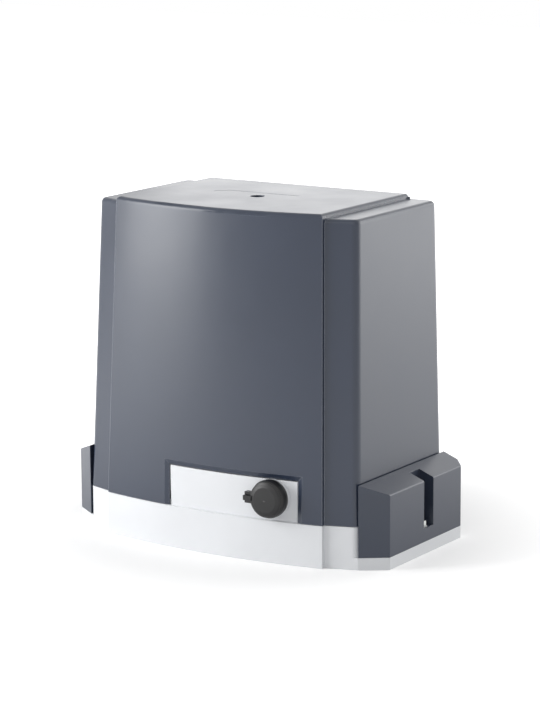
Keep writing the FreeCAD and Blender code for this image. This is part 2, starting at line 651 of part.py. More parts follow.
def ring(name, inner, outer, low, high, place, rotation=None, waist=0.0):
    """A bearing or seal seen as one ring, with a shallow groove in each face between its races."""
    a, b = f"({inner}) * 0.62 + ({outer}) * 0.38", f"({inner}) * 0.38 + ({outer}) * 0.62"
    profile = [(inner, low), (a, low), (a, f"({low}) + {waist}"), (b, f"({low}) + {waist}"), (b, low),
               (outer, low), (outer, high), (b, high), (b, f"({high}) - {waist}"),
               (a, f"({high}) - {waist}"), (a, high), (inner, high)]
    return turned(name, profile, place, rotation)


ON_SHAFT = ("shaft_x", "0", "shaft_z")
RUNNING = "shaft_bore + fit_gap"


def make_output_shaft():
    """Stepped output shaft, drilled for the release rod, slotted for the clutch pin and keyed."""
    shaft = turned("output_shaft", [
        ("0", "chamber_front - bearing_wide + 1"), ("shaft_bore", "chamber_front - bearing_wide + 1"),
        ("shaft_bore", "collar_front"), ("19", "collar_front"), ("19", "collar_front + 3"),
        ("15.5", "collar_front + 3"), ("15.5", "rear_seat - 0.1"), ("shaft_bore", "rear_seat - 0.1"),
        ("shaft_bore", "pinion_front + pinion_face - 0.5"),
        ("0", "pinion_front + pinion_face - 0.5")], ON_SHAFT, ALONG_Y)
    bore = add_circle(new_sketch(shaft, "XY_Plane", "rod_bore", "chamber_front - bearing_wide"),
                      "0", "0", "rod_rad + fit_gap")
    extrude(shaft, "Pocket", bore, f"{PIN_Y} + 12 - chamber_front + bearing_wide", backwards=True)
    slot = new_sketch(shaft, "XZ_Plane", "pin_slot")
    add_loop(slot, box_corners("-clutch_pin_rad - 0.1", "clutch_pin_rad + 0.1",
                               f"{PIN_Y} - clutch_pin_rad - 0.5",
                               f"{PIN_Y} + clutch_travel + clutch_pin_rad + 0.5"))
    extrude(shaft, "Pocket", slot, "60", midplane=True)
    keyway = new_sketch(shaft, "XY_Plane", "keyway", "pinion_front + 3")
    add_loop(keyway, box_corners("-4.05", "4.05", "shaft_bore - 4", "shaft_bore + 2"))
    extrude(shaft, "Pocket", keyway, "pinion_face - 3", backwards=True)
    end = add_circle(new_sketch(shaft, "XY_Plane", "end_hole", "pinion_front + pinion_face - 22"),
                     "0", "0", "4.05")
    extrude(shaft, "Pocket", end, "30", backwards=True)
    ring("shaft_bearing_front", RUNNING, "bearing_outer", "chamber_front - bearing_wide + 0.1",
         "chamber_front - 0.2", ON_SHAFT, ALONG_Y, 1.2)
    ring("shaft_bearing_rear", RUNNING, "bearing_outer", "rear_seat + 0.05",
         "rear_seat + bearing_wide", ON_SHAFT, ALONG_Y, 1.2)
    ring("oil_seal", "shaft_bore + 0.1", "bearing_outer", "rear_seat + bearing_wide + 0.2",
         "rear_seat + bearing_wide + seal_wide", ON_SHAFT, ALONG_Y, 1.0)


PIN_Y = "(wheel_y + wheel_face / 2 + 14)"
PITCH = "(pi * gear_module)"


def gap_corners(pitch_rad, root, tip, width, lean, turn="0"):
    """Tooth space as a trapezium about the line at 180 degrees, turned in plan by an angle."""
    corners = []
    for radius, side in ((root, -1), (tip, -1), (tip, 1), (root, 1)):
        half = f"(({width}) / 2 + ({radius} - {pitch_rad}) * {lean}) * {side}"
        corners.append((f"-({radius}) * cos({turn}) - ({half}) * sin({turn})",
                        f"-({radius}) * sin({turn}) + ({half}) * cos({turn})"))
    return corners


def make_wheel():
    """Bronze worm wheel: dished blank with hub and dog jaws, and oblique teeth cut all round."""
    front, back = "wheel_y - wheel_face / 2", "wheel_y + wheel_face / 2"
    tip = "wheel_rad + gear_module"
    wheel = turned("worm_wheel", [
        (RUNNING, "chamber_front + 0.4"), ("18", "chamber_front + 0.4"), ("18", f"{front} + 5"),
        ("wheel_rad - 10", f"{front} + 5"), ("wheel_rad - 8", front), (tip, front),
        (tip, back), ("wheel_rad - 8", back), ("wheel_rad - 10", f"{back} - 5"),
        ("22", f"{back} - 5"), ("22", f"{back} + 2"), (RUNNING, f"{back} + 2")],
        ON_SHAFT, ALONG_Y)
    sketches = []
    for label, height, angle in (("low", f"{front} - 0.5", "-wheel_twist"),
                                 ("high", f"{back} + 0.5", "wheel_twist")):
        sketch = new_sketch(wheel, "XY_Plane", f"tooth_space_{label}", height)
        sketches.append(add_loop(sketch, gap_corners(
            "wheel_rad", "(wheel_rad - 1.25 * gear_module)", "(wheel_rad + 1.2 * gear_module)",
            f"{PITCH} * wheel_space", "0.364", angle)))
    doc.recompute()
    space = loft(wheel, "Subtractive", *sketches)
    doc.recompute()
    polar(wheel, space, "wheel_teeth", sketches[0])
    doc.recompute()
    add_jaws(wheel, "wheel_jaws", f"{back} + 1.5", "6.5", "22", "0")


def add_jaws(body, name, height, length, outer, turn):
    """Four dog-clutch jaws: sectors of a ring, each a little under an eighth of a turn."""
    sketch = new_sketch(body, "XY_Plane", name, height)
    half = "20"
    inner = f"({RUNNING} + 1)"
    corners = []
    for radius, side in ((inner, 1), (inner, -1)):
        corners.append((f"{radius} * cos({turn} + {side} * {half})",
                        f"{radius} * sin({turn} + {side} * {half})"))
    corners.append((f"{outer} * cos({turn} - {half})", f"{outer} * sin({turn} - {half})", outer))
    corners.append((f"{outer} * cos({turn} + {half})", f"{outer} * sin({turn} + {half})"))
    add_loop(sketch, corners)
    jaw = extrude(body, "Pad", sketch, length)
    doc.recompute()
    polar(body, jaw, "4", sketch)


def make_clutch():
    """Sliding dog sleeve with its cross pin and return spring."""
    back = "(wheel_y + wheel_face / 2)"
    sleeve = turned("clutch_sleeve", [
        (RUNNING, f"{back} + 8.4"), ("22", f"{back} + 8.4"), ("22", f"{back} + 20"),
        ("19", f"{back} + 20"), ("19", f"{back} + 26"), (RUNNING, f"{back} + 26")],
        ON_SHAFT, ALONG_Y)
    add_jaws(sleeve, "sleeve_jaws", f"{back} + 2.4", "6.5", "22", "45")
    hole = add_circle(new_sketch(sleeve, "XZ_Plane", "pin_hole"), "0", PIN_Y,
                      "clutch_pin_rad + fit_gap")
    extrude(sleeve, "Pocket", hole, "60", midplane=True)
    pin = rod("clutch_pin", "clutch_pin_rad", "-21.5", "21.5")
    pin.Placement = FreeCAD.Placement(FreeCAD.Vector(), FreeCAD.Rotation())
    put(pin, "shaft_x", PIN_Y, "shaft_z - 21.5")
    keep("clutch_pin", pin)
    spring = new_body("clutch_spring")
    wire = new_sketch(spring, "XZ_Plane", "spring_wire")
    low = f"{back} + 26.4 + spring_wire_rad"
    add_loop(wire, [(f"16.2 + spring_wire_rad * cos({a})", f"{low} + spring_wire_rad * sin({a})")
                    for a in range(0, 360, 60)])
    coil = spring.newObject("PartDesign::AdditiveHelix", "spring_coil")
    coil.Profile = wire
    coil.ReferenceAxis = (wire, ["V_Axis"])
    coil.Mode = 1
    drive(coil, "Pitch", f"(collar_front - {back} - 26.8 - 2 * spring_wire_rad) / 4")
    coil.Turns = 4
    put(spring, *ON_SHAFT, rotation=ALONG_Y)


def make_pinion():
    """Steel rack pinion with eighteen curved-flank teeth, its key, washer and end bolt."""
    pitch = "(rack_module * pinion_teeth / 2)"
    root, tip = f"({pitch} - 1.25 * rack_module)", f"({pitch} + rack_module)"
    back = "pinion_front + pinion_face"
    pinion = turned("pinion", [
        (RUNNING, "pinion_front - 3"), ("20", "pinion_front - 3"), ("20", "pinion_front"),
        (f"{tip} - 1", "pinion_front"), (tip, "pinion_front + 1"), (tip, f"{back} - 1"),
        (f"{tip} - 1", back), (RUNNING, back)], ON_SHAFT, ALONG_Y)
    sketch = new_sketch(pinion, "XY_Plane", "pinion_space", "pinion_front - 1")
    over = f"({tip} + 1)"
    add_loop(sketch, [
        (f"-{root}", "-rack_module * 0.42"), (f"-{root}", "rack_module * 0.42", "rack_module * 4"),
        (f"-{over}", "rack_module * 1.36"), (f"-{over}", "-rack_module * 1.36", "rack_module * 4")])
    space = extrude(pinion, "Pocket", sketch, "pinion_face + 2", backwards=True)
    doc.recompute()
    polar(pinion, space, "pinion_teeth", sketch)
    keyway = new_sketch(pinion, "XY_Plane", "pinion_keyway", "pinion_front - 4")
    add_loop(keyway, box_corners("-4.05", "4.05", "0", "shaft_bore + 3.1"))
    extrude(pinion, "Pocket", keyway, "pinion_face + 5", backwards=True)
    key = slab("pinion_key", box_corners("-4", "4", "shaft_bore - 3.95", "shaft_bore + 3"),
               "pinion_front + 3.1", "pinion_face - 4", place=ON_SHAFT, rotation=ALONG_Y)
    doc.recompute()
    dress(key, "Fillet", key.Tip, "3.9", lambda e: abs(middle(e).x) > 3.9
          and e.BoundBox.YLength > 5)
    turned("pinion_washer", [("4.3", back), ("17", back), ("17", f"{back} + 3"), ("4.3", f"{back} + 3")],
           ON_SHAFT, ALONG_Y)
    turned("pinion_bolt", [("0", f"{back} - 19"), ("4", f"{back} - 19"), ("4", f"{back} + 3"),
                           ("6.5", f"{back} + 3"), ("6.5", f"{back} + 8"), ("3.4", f"{back} + 8"),
                           ("3.4", f"{back} + 5"), ("0", f"{back} + 5")], ON_SHAFT, ALONG_Y)


# ---------------------------------------------------------------- worm and motor

ON_MOTOR = ("worm_x", "wheel_y", "0")


def make_worm_shaft():
    """Motor shaft with the worm cut in it; its thread meets the wheel at the shaft's height."""
    top, root = "fan_low + 18", "(worm_pitch_rad - 1.25 * gear_module)"
    tip = "(worm_pitch_rad + gear_module)"
    shaft = turned("worm_shaft", [
        ("0", "case_floor - 9.5"), ("7.5", "case_floor - 9.5"), ("7.5", "case_floor"),
        (root, "case_floor"), (root, "shaft_z - worm_half"), (tip, "shaft_z - worm_half + 4"),
        (tip, "shaft_z + worm_half - 4"), (root, "shaft_z + worm_half"), (root, f"{LID_LOW} - 2"),
        ("motor_shaft", f"{LID_LOW} - 2"), ("motor_shaft", "shield_high - 2"),
        ("7.5", "shield_high - 2"), ("7.5", top), ("0", top)], ON_MOTOR)
    sketch = new_sketch(shaft, "XZ_Plane", "thread_space")
    centre = f"(shaft_z - {PITCH} * (worm_turns / 2 + 0.5))"
    corners = []
    for radius, side in ((root, -1), (f"({tip} + 0.6)", -1), (f"({tip} + 0.6)", 1), (root, 1)):
        half = f"({PITCH} * thread_space / 2 + ({radius} - worm_pitch_rad) * 0.364)"
        corners.append((radius, f"{centre} + {side} * {half}"))
    add_loop(sketch, corners)
    doc.recompute()
    thread = shaft.newObject("PartDesign::SubtractiveHelix", "thread_groove")
    thread.Profile = sketch
    thread.ReferenceAxis = (sketch, ["V_Axis"])
    thread.Mode = 1
    drive(thread, "Pitch", PITCH)
    drive(thread, "Turns", "worm_turns + 1")
    ring("worm_bearing_lower", "7.5 + fit_gap", "worm_bearing", "case_floor - 9.9",
         "case_floor - 0.9", ON_MOTOR, None, 0.8)
    ring("worm_bearing_upper", "motor_shaft + fit_gap", "lid_seat_rad", f"{LID_LOW} + 0.1",
         f"{LID_LOW} + 10.9", ON_MOTOR, None, 0.8)
    ring("motor_bearing", "7.5 + fit_gap", "worm_bearing", "shield_high + 0.2",
         "shield_high + 8.8", ON_MOTOR, None, 0.8)


def square_plan(half):
    return box_corners(f"worm_x - ({half})", f"worm_x + ({half})", f"wheel_y - ({half})",
                       f"wheel_y + ({half})")


TIE_BOLTS = [(f"worm_x {a} tie_offset", f"wheel_y {b} tie_offset") for a in "-+" for b in "-+"]


def make_stator():
    """Lamination stack with winding slots, and the two coil ends that stand out of it."""
    core = slab("stator_core", square_plan("stator_side / 2"), "stator_low",
                "stator_high - stator_low", [("worm_x", "wheel_y", "stator_bore")])
    doc.recompute()
    dress(core, "Fillet", core.Tip, "14", lambda e: is_upright(e)
          and abs(middle(e).x - number("worm_x")) > number("stator_side") / 2 - 1)
    slots = new_sketch(core, "XY_Plane", "stator_slots", "0")
    add_loop(slots, box_corners("stator_bore - 1", "stator_bore + 12", "-2.6", "2.6"))
    slot = core.newObject("PartDesign::Pocket", "stator_slot")
    drive(slots, "AttachmentOffset.Base.x", "worm_x")
    drive(slots, "AttachmentOffset.Base.y", "wheel_y")
    drive(slots, "AttachmentOffset.Base.z", "stator_low - 1")
    slot.Profile = slots
    slot.Reversed = True
    drive(slot, "Length", "stator_high - stator_low + 2")
    doc.recompute()
    polar(core, slot, "16", slots)
    holes = new_sketch(core, "XY_Plane", "stator_bolt_holes", "stator_low - 1")
    for x, y in TIE_BOLTS:
        add_circle(holes, x, y, "tie_rad + 0.3")
    extrude(core, "Pocket", holes, "stator_high - stator_low + 2", backwards=True)
    coils = []
    for label, low, side in (("low", "stator_low - coil_tall", 1), ("high", "stator_high", -1)):
        inner, outer = "stator_bore + 1.5", "stator_bore + 17"
        edge = "4"
        near, far = (("0", "coil_tall") if side > 0 else ("coil_tall", "0"))
        coils.append(turned(f"coil_end_{label}", [
            (inner, f"{low} + {near}"), (inner, f"{low} + {far}"), (outer, f"{low} + {far}"),
            (outer, f"{low} + ({near}) * 0.8 + ({far}) * 0.2"),
            (f"{outer} - {edge}", f"{low} + {near}")][:: side],
            ON_MOTOR, None, register=False))
    item = doc.addObject("Part::Compound", "stator_windings")
    item.Links = coils
    keep("stator_windings", item)


def make_shields():
    """Two end shields with bearing hub, corner legs and cooling windows, and the tie bolts."""
    low_gap, high_gap = "stator_low - motor_foot - shield_thick", "shield_high - stator_high"
    for name, low, leg_low, leg in (
            ("motor_shield_lower", "motor_foot", "motor_foot + shield_thick - 1", f"{low_gap} + 1"),
            ("motor_shield_upper", "shield_high", "stator_high", f"{high_gap} + 1")):
        upper = name.endswith("upper")
        bore = "worm_bearing + fit_gap" if upper else "motor_shaft + 1.5"
        shield = slab(name, square_plan("stator_side / 2"), low, "shield_thick",
                      [("worm_x", "wheel_y", bore)])
        doc.recompute()
        dress(shield, "Fillet", shield.Tip, "14", lambda e: is_upright(e)
              and abs(middle(e).x - number("worm_x")) > number("stator_side") / 2 - 1)
        legs = new_sketch(shield, "XY_Plane", f"{name}_legs", leg_low)
        for x, y in TIE_BOLTS:
            add_circle(legs, x, y, "tie_rad + 4.2")
        extrude(shield, "Pad", legs, leg)
        doc.recompute()
        window = new_sketch(shield, "XY_Plane", f"{name}_window", f"{low} - 1",
                            shift=("worm_x", "wheel_y"))
        add_loop(window, [("30", "-9"), ("46", "-14"), ("46", "14"), ("30", "9")])
        pocket = extrude(shield, "Pocket", window, "shield_thick + 2", backwards=True)
        doc.recompute()
        polar(shield, pocket, "4", window)
        holes = new_sketch(shield, "XY_Plane", f"{name}_holes", "motor_foot - 1")
        for x, y in TIE_BOLTS:
            add_circle(holes, x, y, "tie_rad + 0.3")
        extrude(shield, "Pocket", holes, "shield_high - motor_foot + 20", backwards=True)
    tie = turned("tie_bolt", [
        ("0", "lid_top"), ("tie_rad", "lid_top"), ("tie_rad", "shield_high + shield_thick"),
        ("5", "shield_high + shield_thick"), ("5", "shield_high + shield_thick + 4"),
        ("0", "shield_high + shield_thick + 4")], register=False)
    group("tie_bolts", tie, [(x, y, "0") for x, y in TIE_BOLTS])


def make_rotor():
    """Squirrel-cage rotor with end rings, and the fan above the upper shield."""
    outer = "stator_bore - air_gap"
    turned("rotor_core", [
        ("motor_shaft + fit_gap", "stator_low"), (f"{outer} - 7", "stator_low"),
        (f"{outer} - 7", "stator_low - 6"), (f"{outer} - 1", "stator_low - 6"),
        (f"{outer} - 1", "stator_low"), (outer, "stator_low"), (outer, "stator_high"),
        (f"{outer} - 1", "stator_high"), (f"{outer} - 1", "stator_high + 6"),
        (f"{outer} - 7", "stator_high + 6"), (f"{outer} - 7", "stator_high"),
        ("motor_shaft + fit_gap", "stator_high")], ON_MOTOR)
    fan = turned("cooling_fan", [
        ("7.5 + fit_gap", "fan_low"), ("fan_rad", "fan_low"), ("fan_rad", "fan_low + 2"),
        ("13", "fan_low + 2"), ("12", "fan_low + 16"), ("7.5 + fit_gap", "fan_low + 16")], ON_MOTOR)
    blade = new_sketch(fan, "XY_Plane", "fan_blade", "fan_low + 1")
    add_loop(blade, [("11", "-1"), ("fan_rad - 1", "-6", "fan_rad * 1.6"), ("fan_rad - 1", "-4"),
                     ("11", "1.2")])
    pad = extrude(fan, "Pad", blade, "13")
    doc.recompute()
    polar(fan, pad, "9", blade)


# ---------------------------------------------------------------- manual release

KNOB = ("shaft_x", "0", "shaft_z")


def make_release():
    """Round release housing with its hinged dust cap, key cylinder and push rod."""
    front, back = "-knob_front", "-knob_back"
    housing = turned("release_housing", [
        ("lock_rad + fit_gap", back), ("lock_rad + fit_gap", f"{front} + 3"),
        ("knob_rad - 4", f"{front} + 3"), ("knob_rad - 4", front), ("knob_rad - 2.5", front),
        ("knob_rad - 0.8", f"{front} + 1.7"), ("knob_rad", f"{front} + 4"), ("knob_rad", f"{back} - 4"),
        ("knob_rad - 1", back)],
        KNOB, ALONG_Y)
    ears = new_sketch(housing, "XY_Plane", "hinge_ears", front)
    hinge = "-(knob_rad + hinge_out)"
    for low, high in (("-6", "-2.9"), ("2.9", "6")):
        add_loop(ears, box_corners(hinge, "-knob_rad + 4", low, high))
    extrude(housing, "Pad", ears, "hinge_deep")
    pin_bore = add_circle(new_sketch(housing, "XZ_Plane", "hinge_bore"),
                          f"{hinge} + 2.6", f"{front} + 2.6", "1.05")
    extrude(housing, "Pocket", pin_bore, "60", midplane=True)
    cap = turned("release_cap", [
        ("0", f"{front} - 0.3 - cap_thick"), ("knob_rad - 7", f"{front} - 0.1 - cap_thick"),
        ("knob_rad - 3.6", f"{front} + 0.8 - cap_thick"), ("knob_rad - 1.6", f"{front} - 0.9"),
        ("knob_rad - 1.6", f"{front} - 0.3"),
        ("knob_rad - 4.8", f"{front} - 0.3"), ("knob_rad - 4.8", f"{front} + 2.2"),
        ("knob_rad - 6", f"{front} + 2.2"), ("knob_rad - 6", f"{front} - 0.6"),
        ("0", f"{front} - 0.6")], KNOB, ALONG_Y)
    knuckle = add_loop(new_sketch(cap, "XY_Plane", "cap_knuckle", f"{front} - 0.3 - cap_thick"),
                       box_corners(hinge, "-knob_rad + 4", "-2.6", "2.6"))
    extrude(cap, "Pad", knuckle, "cap_thick")
    lug = new_sketch(cap, "XZ_Plane", "cap_lug")
    add_loop(lug, [(hinge, f"{front} - 1"), (f"{hinge} + 5.2", f"{front} - 1"),
                   (f"{hinge} + 5.2", f"{front} + 2.6", "2.62"), (hinge, f"{front} + 2.6")])
    extrude(cap, "Pad", lug, "5.2", midplane=True)
    lug_bore = add_circle(new_sketch(cap, "XZ_Plane", "cap_bore"),
                          f"{hinge} + 2.6", f"{front} + 2.6", "1.05")
    extrude(cap, "Pocket", lug_bore, "60", midplane=True)
    turned("cap_hinge_pin", [("0", "-6"), ("1", "-6"), ("1", "6"), ("0", "6")],
           ("shaft_x - knob_rad - hinge_out + 2.6", f"{front} + 2.6", "shaft_z"))
    lock = turned("release_lock", [
        ("rod_rad + fit_gap", back + " + 3"), ("lock_rad", back + " + 3"),
        ("lock_rad", f"{front} + 4"), ("0", f"{front} + 4"), ("0", f"{back} - 4.8"),
        ("rod_rad + fit_gap", f"{back} - 4.8")], KNOB, ALONG_Y)
    key = new_sketch(lock, "XY_Plane", "key_recess", f"{front} + 3")
    add_loop(key, [(f"7 * cos({a})", f"7 * sin({a})", "9") for a in (90, 210, 330)])
    extrude(lock, "Pocket", key, "4", backwards=True)
    rod_low, rod_high = f"{back} - 4.5", f"{PIN_Y} - clutch_pin_rad - 0.2"
    turned("release_rod", [("0", rod_low), ("rod_rad", rod_low), ("rod_rad", rod_high),
                           ("0", rod_high)], KNOB, ALONG_Y)


# ---------------------------------------------------------------- cover fixing

STRAP_TOP = "(cover_top - well_deep - cover_wall - 0.4)"


def make_cover_fixing():
    """Bent strap over the fan with its nut, and the screw that holds the cover down."""
    strap = new_body("cover_bracket")
    low, thick = "shield_high + shield_thick", "strap_thick"
    left, right = "worm_x - strap_half", "worm_x + strap_half"
    profile = new_sketch(strap, "XZ_Plane", "strap_profile", "-screw_y")
    add_loop(profile, [(left, low), (f"{left} + {thick}", low),
                       (f"{left} + {thick}", f"{STRAP_TOP} - {thick}"),
                       (f"{right} - {thick}", f"{STRAP_TOP} - {thick}"), (f"{right} - {thick}", low),
                       (right, low), (right, STRAP_TOP), (left, STRAP_TOP)])
    extrude(strap, "Pad", profile, "strap_wide", midplane=True)
    doc.recompute()
    top = number(STRAP_TOP)
    dress(strap, "Fillet", strap.Tip, "strap_thick + 2", lambda e: abs(middle(e).z - top) < 0.01
          and e.BoundBox.YLength > 15)
    hole = add_circle(new_sketch(strap, "XY_Plane", "strap_hole", f"{STRAP_TOP} - 20"),
                      "screw_x", "screw_y", "screw_rad + 0.6")
    extrude(strap, "Pocket", hole, "40", backwards=True)
    nut = new_body("cover_nut")
    hexagon = new_sketch(nut, "XY_Plane", "nut_hexagon", f"{STRAP_TOP} - strap_thick - cover_nut_tall",
                         shift=("screw_x", "screw_y"))
    add_hexagon(hexagon, "nut_rad")
    add_circle(hexagon, "0", "0", "screw_rad + fit_gap")
    extrude(nut, "Pad", hexagon, "cover_nut_tall")
    seat = "cover_top - well_deep"
    turned("cover_screw", [
        ("0", f"{STRAP_TOP} - strap_thick - 9"), ("screw_rad", f"{STRAP_TOP} - strap_thick - 9"),
        ("screw_rad", seat), ("5.5", seat), ("5.5", f"{seat} + 3.5"), ("3.4", f"{seat} + 5"),
        ("1.8", f"{seat} + 5"), ("1.8", f"{seat} + 2.5"), ("0", f"{seat} + 2.5")],
        ("screw_x", "screw_y", "0"))


# ---------------------------------------------------------------- run capacitor

def make_capacitor():
    """Can capacitor with rolled rim and terminals, in a clamp screwed to the lid."""
    place = ("capacitor_x", "capacitor_y", "lid_top")
    rad, tall = "capacitor_rad", "capacitor_tall"
    can = turned("run_capacitor", [
        ("0", "0.2"), (f"{rad} - 2", "0.2"), (rad, "2"), (rad, f"{tall} - 2"),
        (f"{rad} - 1.5", tall), (f"{rad} - 3", tall), (f"{rad} - 3", f"{tall} - 1.5"),
        ("0", f"{tall} - 1.5")], place)
    tabs = new_sketch(can, "XY_Plane", "capacitor_tabs", f"{tall} - 2")
    for low, high in (("-9", "-8"), ("8", "9")):
        add_loop(tabs, box_corners(low, high, "-3.2", "3.2"))
    extrude(can, "Pad", tabs, "11")
    clamp = new_body("capacitor_clamp")
    band = new_sketch(clamp, "XY_Plane", "clamp_band", "20")
    add_circle(band, "0", "0", f"{rad} + 0.3")
    add_circle(band, "0", "0", f"{rad} + 2.3")
    extrude(clamp, "Pad", band, "16")
    leg = add_loop(new_sketch(clamp, "XY_Plane", "clamp_leg", "0"), box_corners(
        "-6", "6", f"{rad} + 0.6", f"{rad} + 3.6"))
    extrude(clamp, "Pad", leg, "30")
    foot = add_loop(new_sketch(clamp, "XY_Plane", "clamp_foot", "0"), box_corners(
        "-6", "6", f"{rad} + 0.6", f"{rad} + 14"))
    extrude(clamp, "Pad", foot, "2.5")
    put(clamp, *place)


# ---------------------------------------------------------------- control gear

BOARD_Y = "(tray_y - board_gap)"
BOARD = ("tray_left + 6", "tray_right - 6", "tray_low + 34", "tray_top - 8")


def on_board(name, items, deep):
    """A node of equal-depth components on the board's face: items are (x0, x1, z0, z1) boxes."""
    boxes = [block(f"{name}_{i + 1}", x0, x1, f"{BOARD_Y} - board_thick - ({deep})",
                   f"{BOARD_Y} - board_thick", z0, z1)
             for i, (x0, x1, z0, z1) in enumerate(items)]
    item = doc.addObject("Part::Compound", name)
    item.Links = boxes
    return keep(name, item)


def make_controls():
    """Board tray with ribs and pillars, control board and its components, and the transformer."""
    tray = new_body("board_tray")
    plate = add_loop(new_sketch(tray, "XZ_Plane", "tray_plate", "-tray_y"), box_corners(
        "tray_left", "tray_right", "tray_low", "tray_top"))
    extrude(tray, "Pad", plate, "tray_thick", backwards=True)
    rim = new_sketch(tray, "XZ_Plane", "tray_rim", "-tray_y")
    add_loop(rim, box_corners("tray_left", "tray_right", "tray_low", "tray_top"))
    add_loop(rim, box_corners("tray_left + 2.5", "tray_right - 2.5", "tray_low + 26", "tray_top - 2.5"))
    extrude(tray, "Pad", rim, "5")
    foot = add_loop(new_sketch(tray, "XY_Plane", "tray_foot", "tray_low"), box_corners(
        "tray_left + 20", "tray_right - 6", "tray_y + 1", "tray_y + 22"))
    extrude(tray, "Pad", foot, "4")
    x0, x1, z0, z1 = BOARD
    pillars = new_sketch(tray, "XZ_Plane", "tray_pillars", "-tray_y")
    corners = [(x, z) for x in (f"{x0} + 5", f"{x1} - 5") for z in (f"{z0} + 5", f"{z1} - 5")]
    for x, z in corners:
        add_circle(pillars, x, z, "3.5")
        add_circle(pillars, x, z, "1.65")
    extrude(tray, "Pad", pillars, "board_gap")
    board = new_body("control_board")
    outline = add_loop(new_sketch(board, "XZ_Plane", "board_outline", f"-{BOARD_Y}"),
                       box_corners(x0, x1, z0, z1))
    for x, z in corners:
        add_circle(outline, x, z, "1.7")
    extrude(board, "Pad", outline, "board_thick")
    screw = bolt("board_screw", 1.6, 7, 3, 2, socket=False)
    links = [(x, f"{BOARD_Y} - board_thick", z) for x, z in corners]
    group("board_screws", screw, links, rotation=FreeCAD.Rotation(X, 90))
    on_board("relays", [(f"{x0} + 14 + {22 * i}", f"{x0} + 30 + {22 * i}", f"{z0} + 40",
                         f"{z0} + 64") for i in range(3)], "16")
    on_board("terminal_blocks", [(f"{x0} + 12", f"{x0} + 49", f"{z0} + 2", f"{z0} + 13"),
                                 (f"{x0} + 53", f"{x1} - 12", f"{z0} + 2", f"{z0} + 13")], "14")
    on_board("plug_headers", [(f"{x0} + 12", f"{x0} + 42", f"{z0} + 18", f"{z0} + 27"),
                              (f"{x0} + 50", f"{x0} + 66", f"{z0} + 18", f"{z0} + 27")], "9")
    on_board("radio_module", [(f"{x1} - 30", f"{x1} - 8", f"{z1} - 40", f"{z1} - 34")], "14")
    on_board("controller_chip", [(f"{x0} + 30", f"{x0} + 56", f"{z0} + 90", f"{z0} + 99")], "3.5")
    fuse = new_body("fuse_holder")
    base = add_loop(new_sketch(fuse, "XZ_Plane", "fuse_base", f"-{BOARD_Y} + board_thick"),
                    box_corners(f"{x0} + 8", f"{x0} + 16", f"{z0} + 92", f"{z0} + 118"))
    extrude(fuse, "Pad", base, "6")
    glass = add_loop(new_sketch(fuse, "XZ_Plane", "fuse_clips", f"-{BOARD_Y} + board_thick + 5"),
                     box_corners(f"{x0} + 9", f"{x0} + 15", f"{z0} + 94", f"{z0} + 99"))
    add_loop(glass, box_corners(f"{x0} + 9", f"{x0} + 15", f"{z0} + 111", f"{z0} + 116"))
    extrude(fuse, "Pad", glass, "7")
    x, y, low = "transformer_x", "transformer_y", "base_floor"
    core = slab("transformer_core", box_corners("-33", "33", "-14", "14"), "0", "56",
                place=(x, y, low))
    openings = new_sketch(core, "XZ_Plane", "core_windows")
    for a, b in (("-22", "-11"), ("11", "22")):
        add_loop(openings, box_corners(a, b, "11", "45"))
    extrude(core, "Pocket", openings, "60", midplane=True)
    bobbin = slab("transformer_bobbin", box_corners("-21.7", "21.7", "-24", "24"), "11.3",
                  "33.4", place=(x, y, low))
    leg = add_loop(new_sketch(bobbin, "XY_Plane", "bobbin_core", "10"), box_corners(
        "-11.3", "11.3", "-14.3", "14.3"))
    extrude(bobbin, "Pocket", leg, "40", backwards=True)
    turned("cable_grommet", [
        ("cable_bore - 4", "1"), ("cable_bore - 0.2", "1"), ("cable_bore - 0.2", "base_floor + 11.2"),
        ("cable_bore + 4", "base_floor + 11.2"), ("cable_bore + 4", "base_floor + 14"),
        ("cable_bore - 4", "base_floor + 16")], ("cable_x", "cable_y", "0"))


# ---------------------------------------------------------------- limit switch

def make_limit_switch():
    """Switch box on the lid, and the sprung finger that the rack's end brackets push aside."""
    switch = slab("limit_switch", box_corners("-20", "20", "-14.5", "11"), "0", "18",
                  place=("shaft_x", "limit_y", "lid_top"))
    doc.recompute()
    dress(switch, "Fillet", switch.Tip, "3", is_upright)
    post = add_circle(new_sketch(switch, "XY_Plane", "switch_post", "17"), "0", "0", "3")
    extrude(switch, "Pad", post, "13")
    arm = turned("limit_arm", [("3.05", "18.3"), ("8", "18.3"), ("8", "28"), ("6", "29.5"),
                               ("3.05", "29.5")], ("shaft_x", "limit_y", "lid_top"))
    finger = add_circle(new_sketch(arm, "XZ_Plane", "finger", "-7"), "0", "24", "2")
    extrude(arm, "Pad", finger, "limit_reach", backwards=True)
    coil = new_sketch(arm, "XZ_Plane", "finger_coil", "-7")
    add_circle(coil, "0", "24", "4")
    extrude(arm, "Pad", coil, "limit_reach * 0.35", backwards=True)


# ---------------------------------------------------------------- foot caps

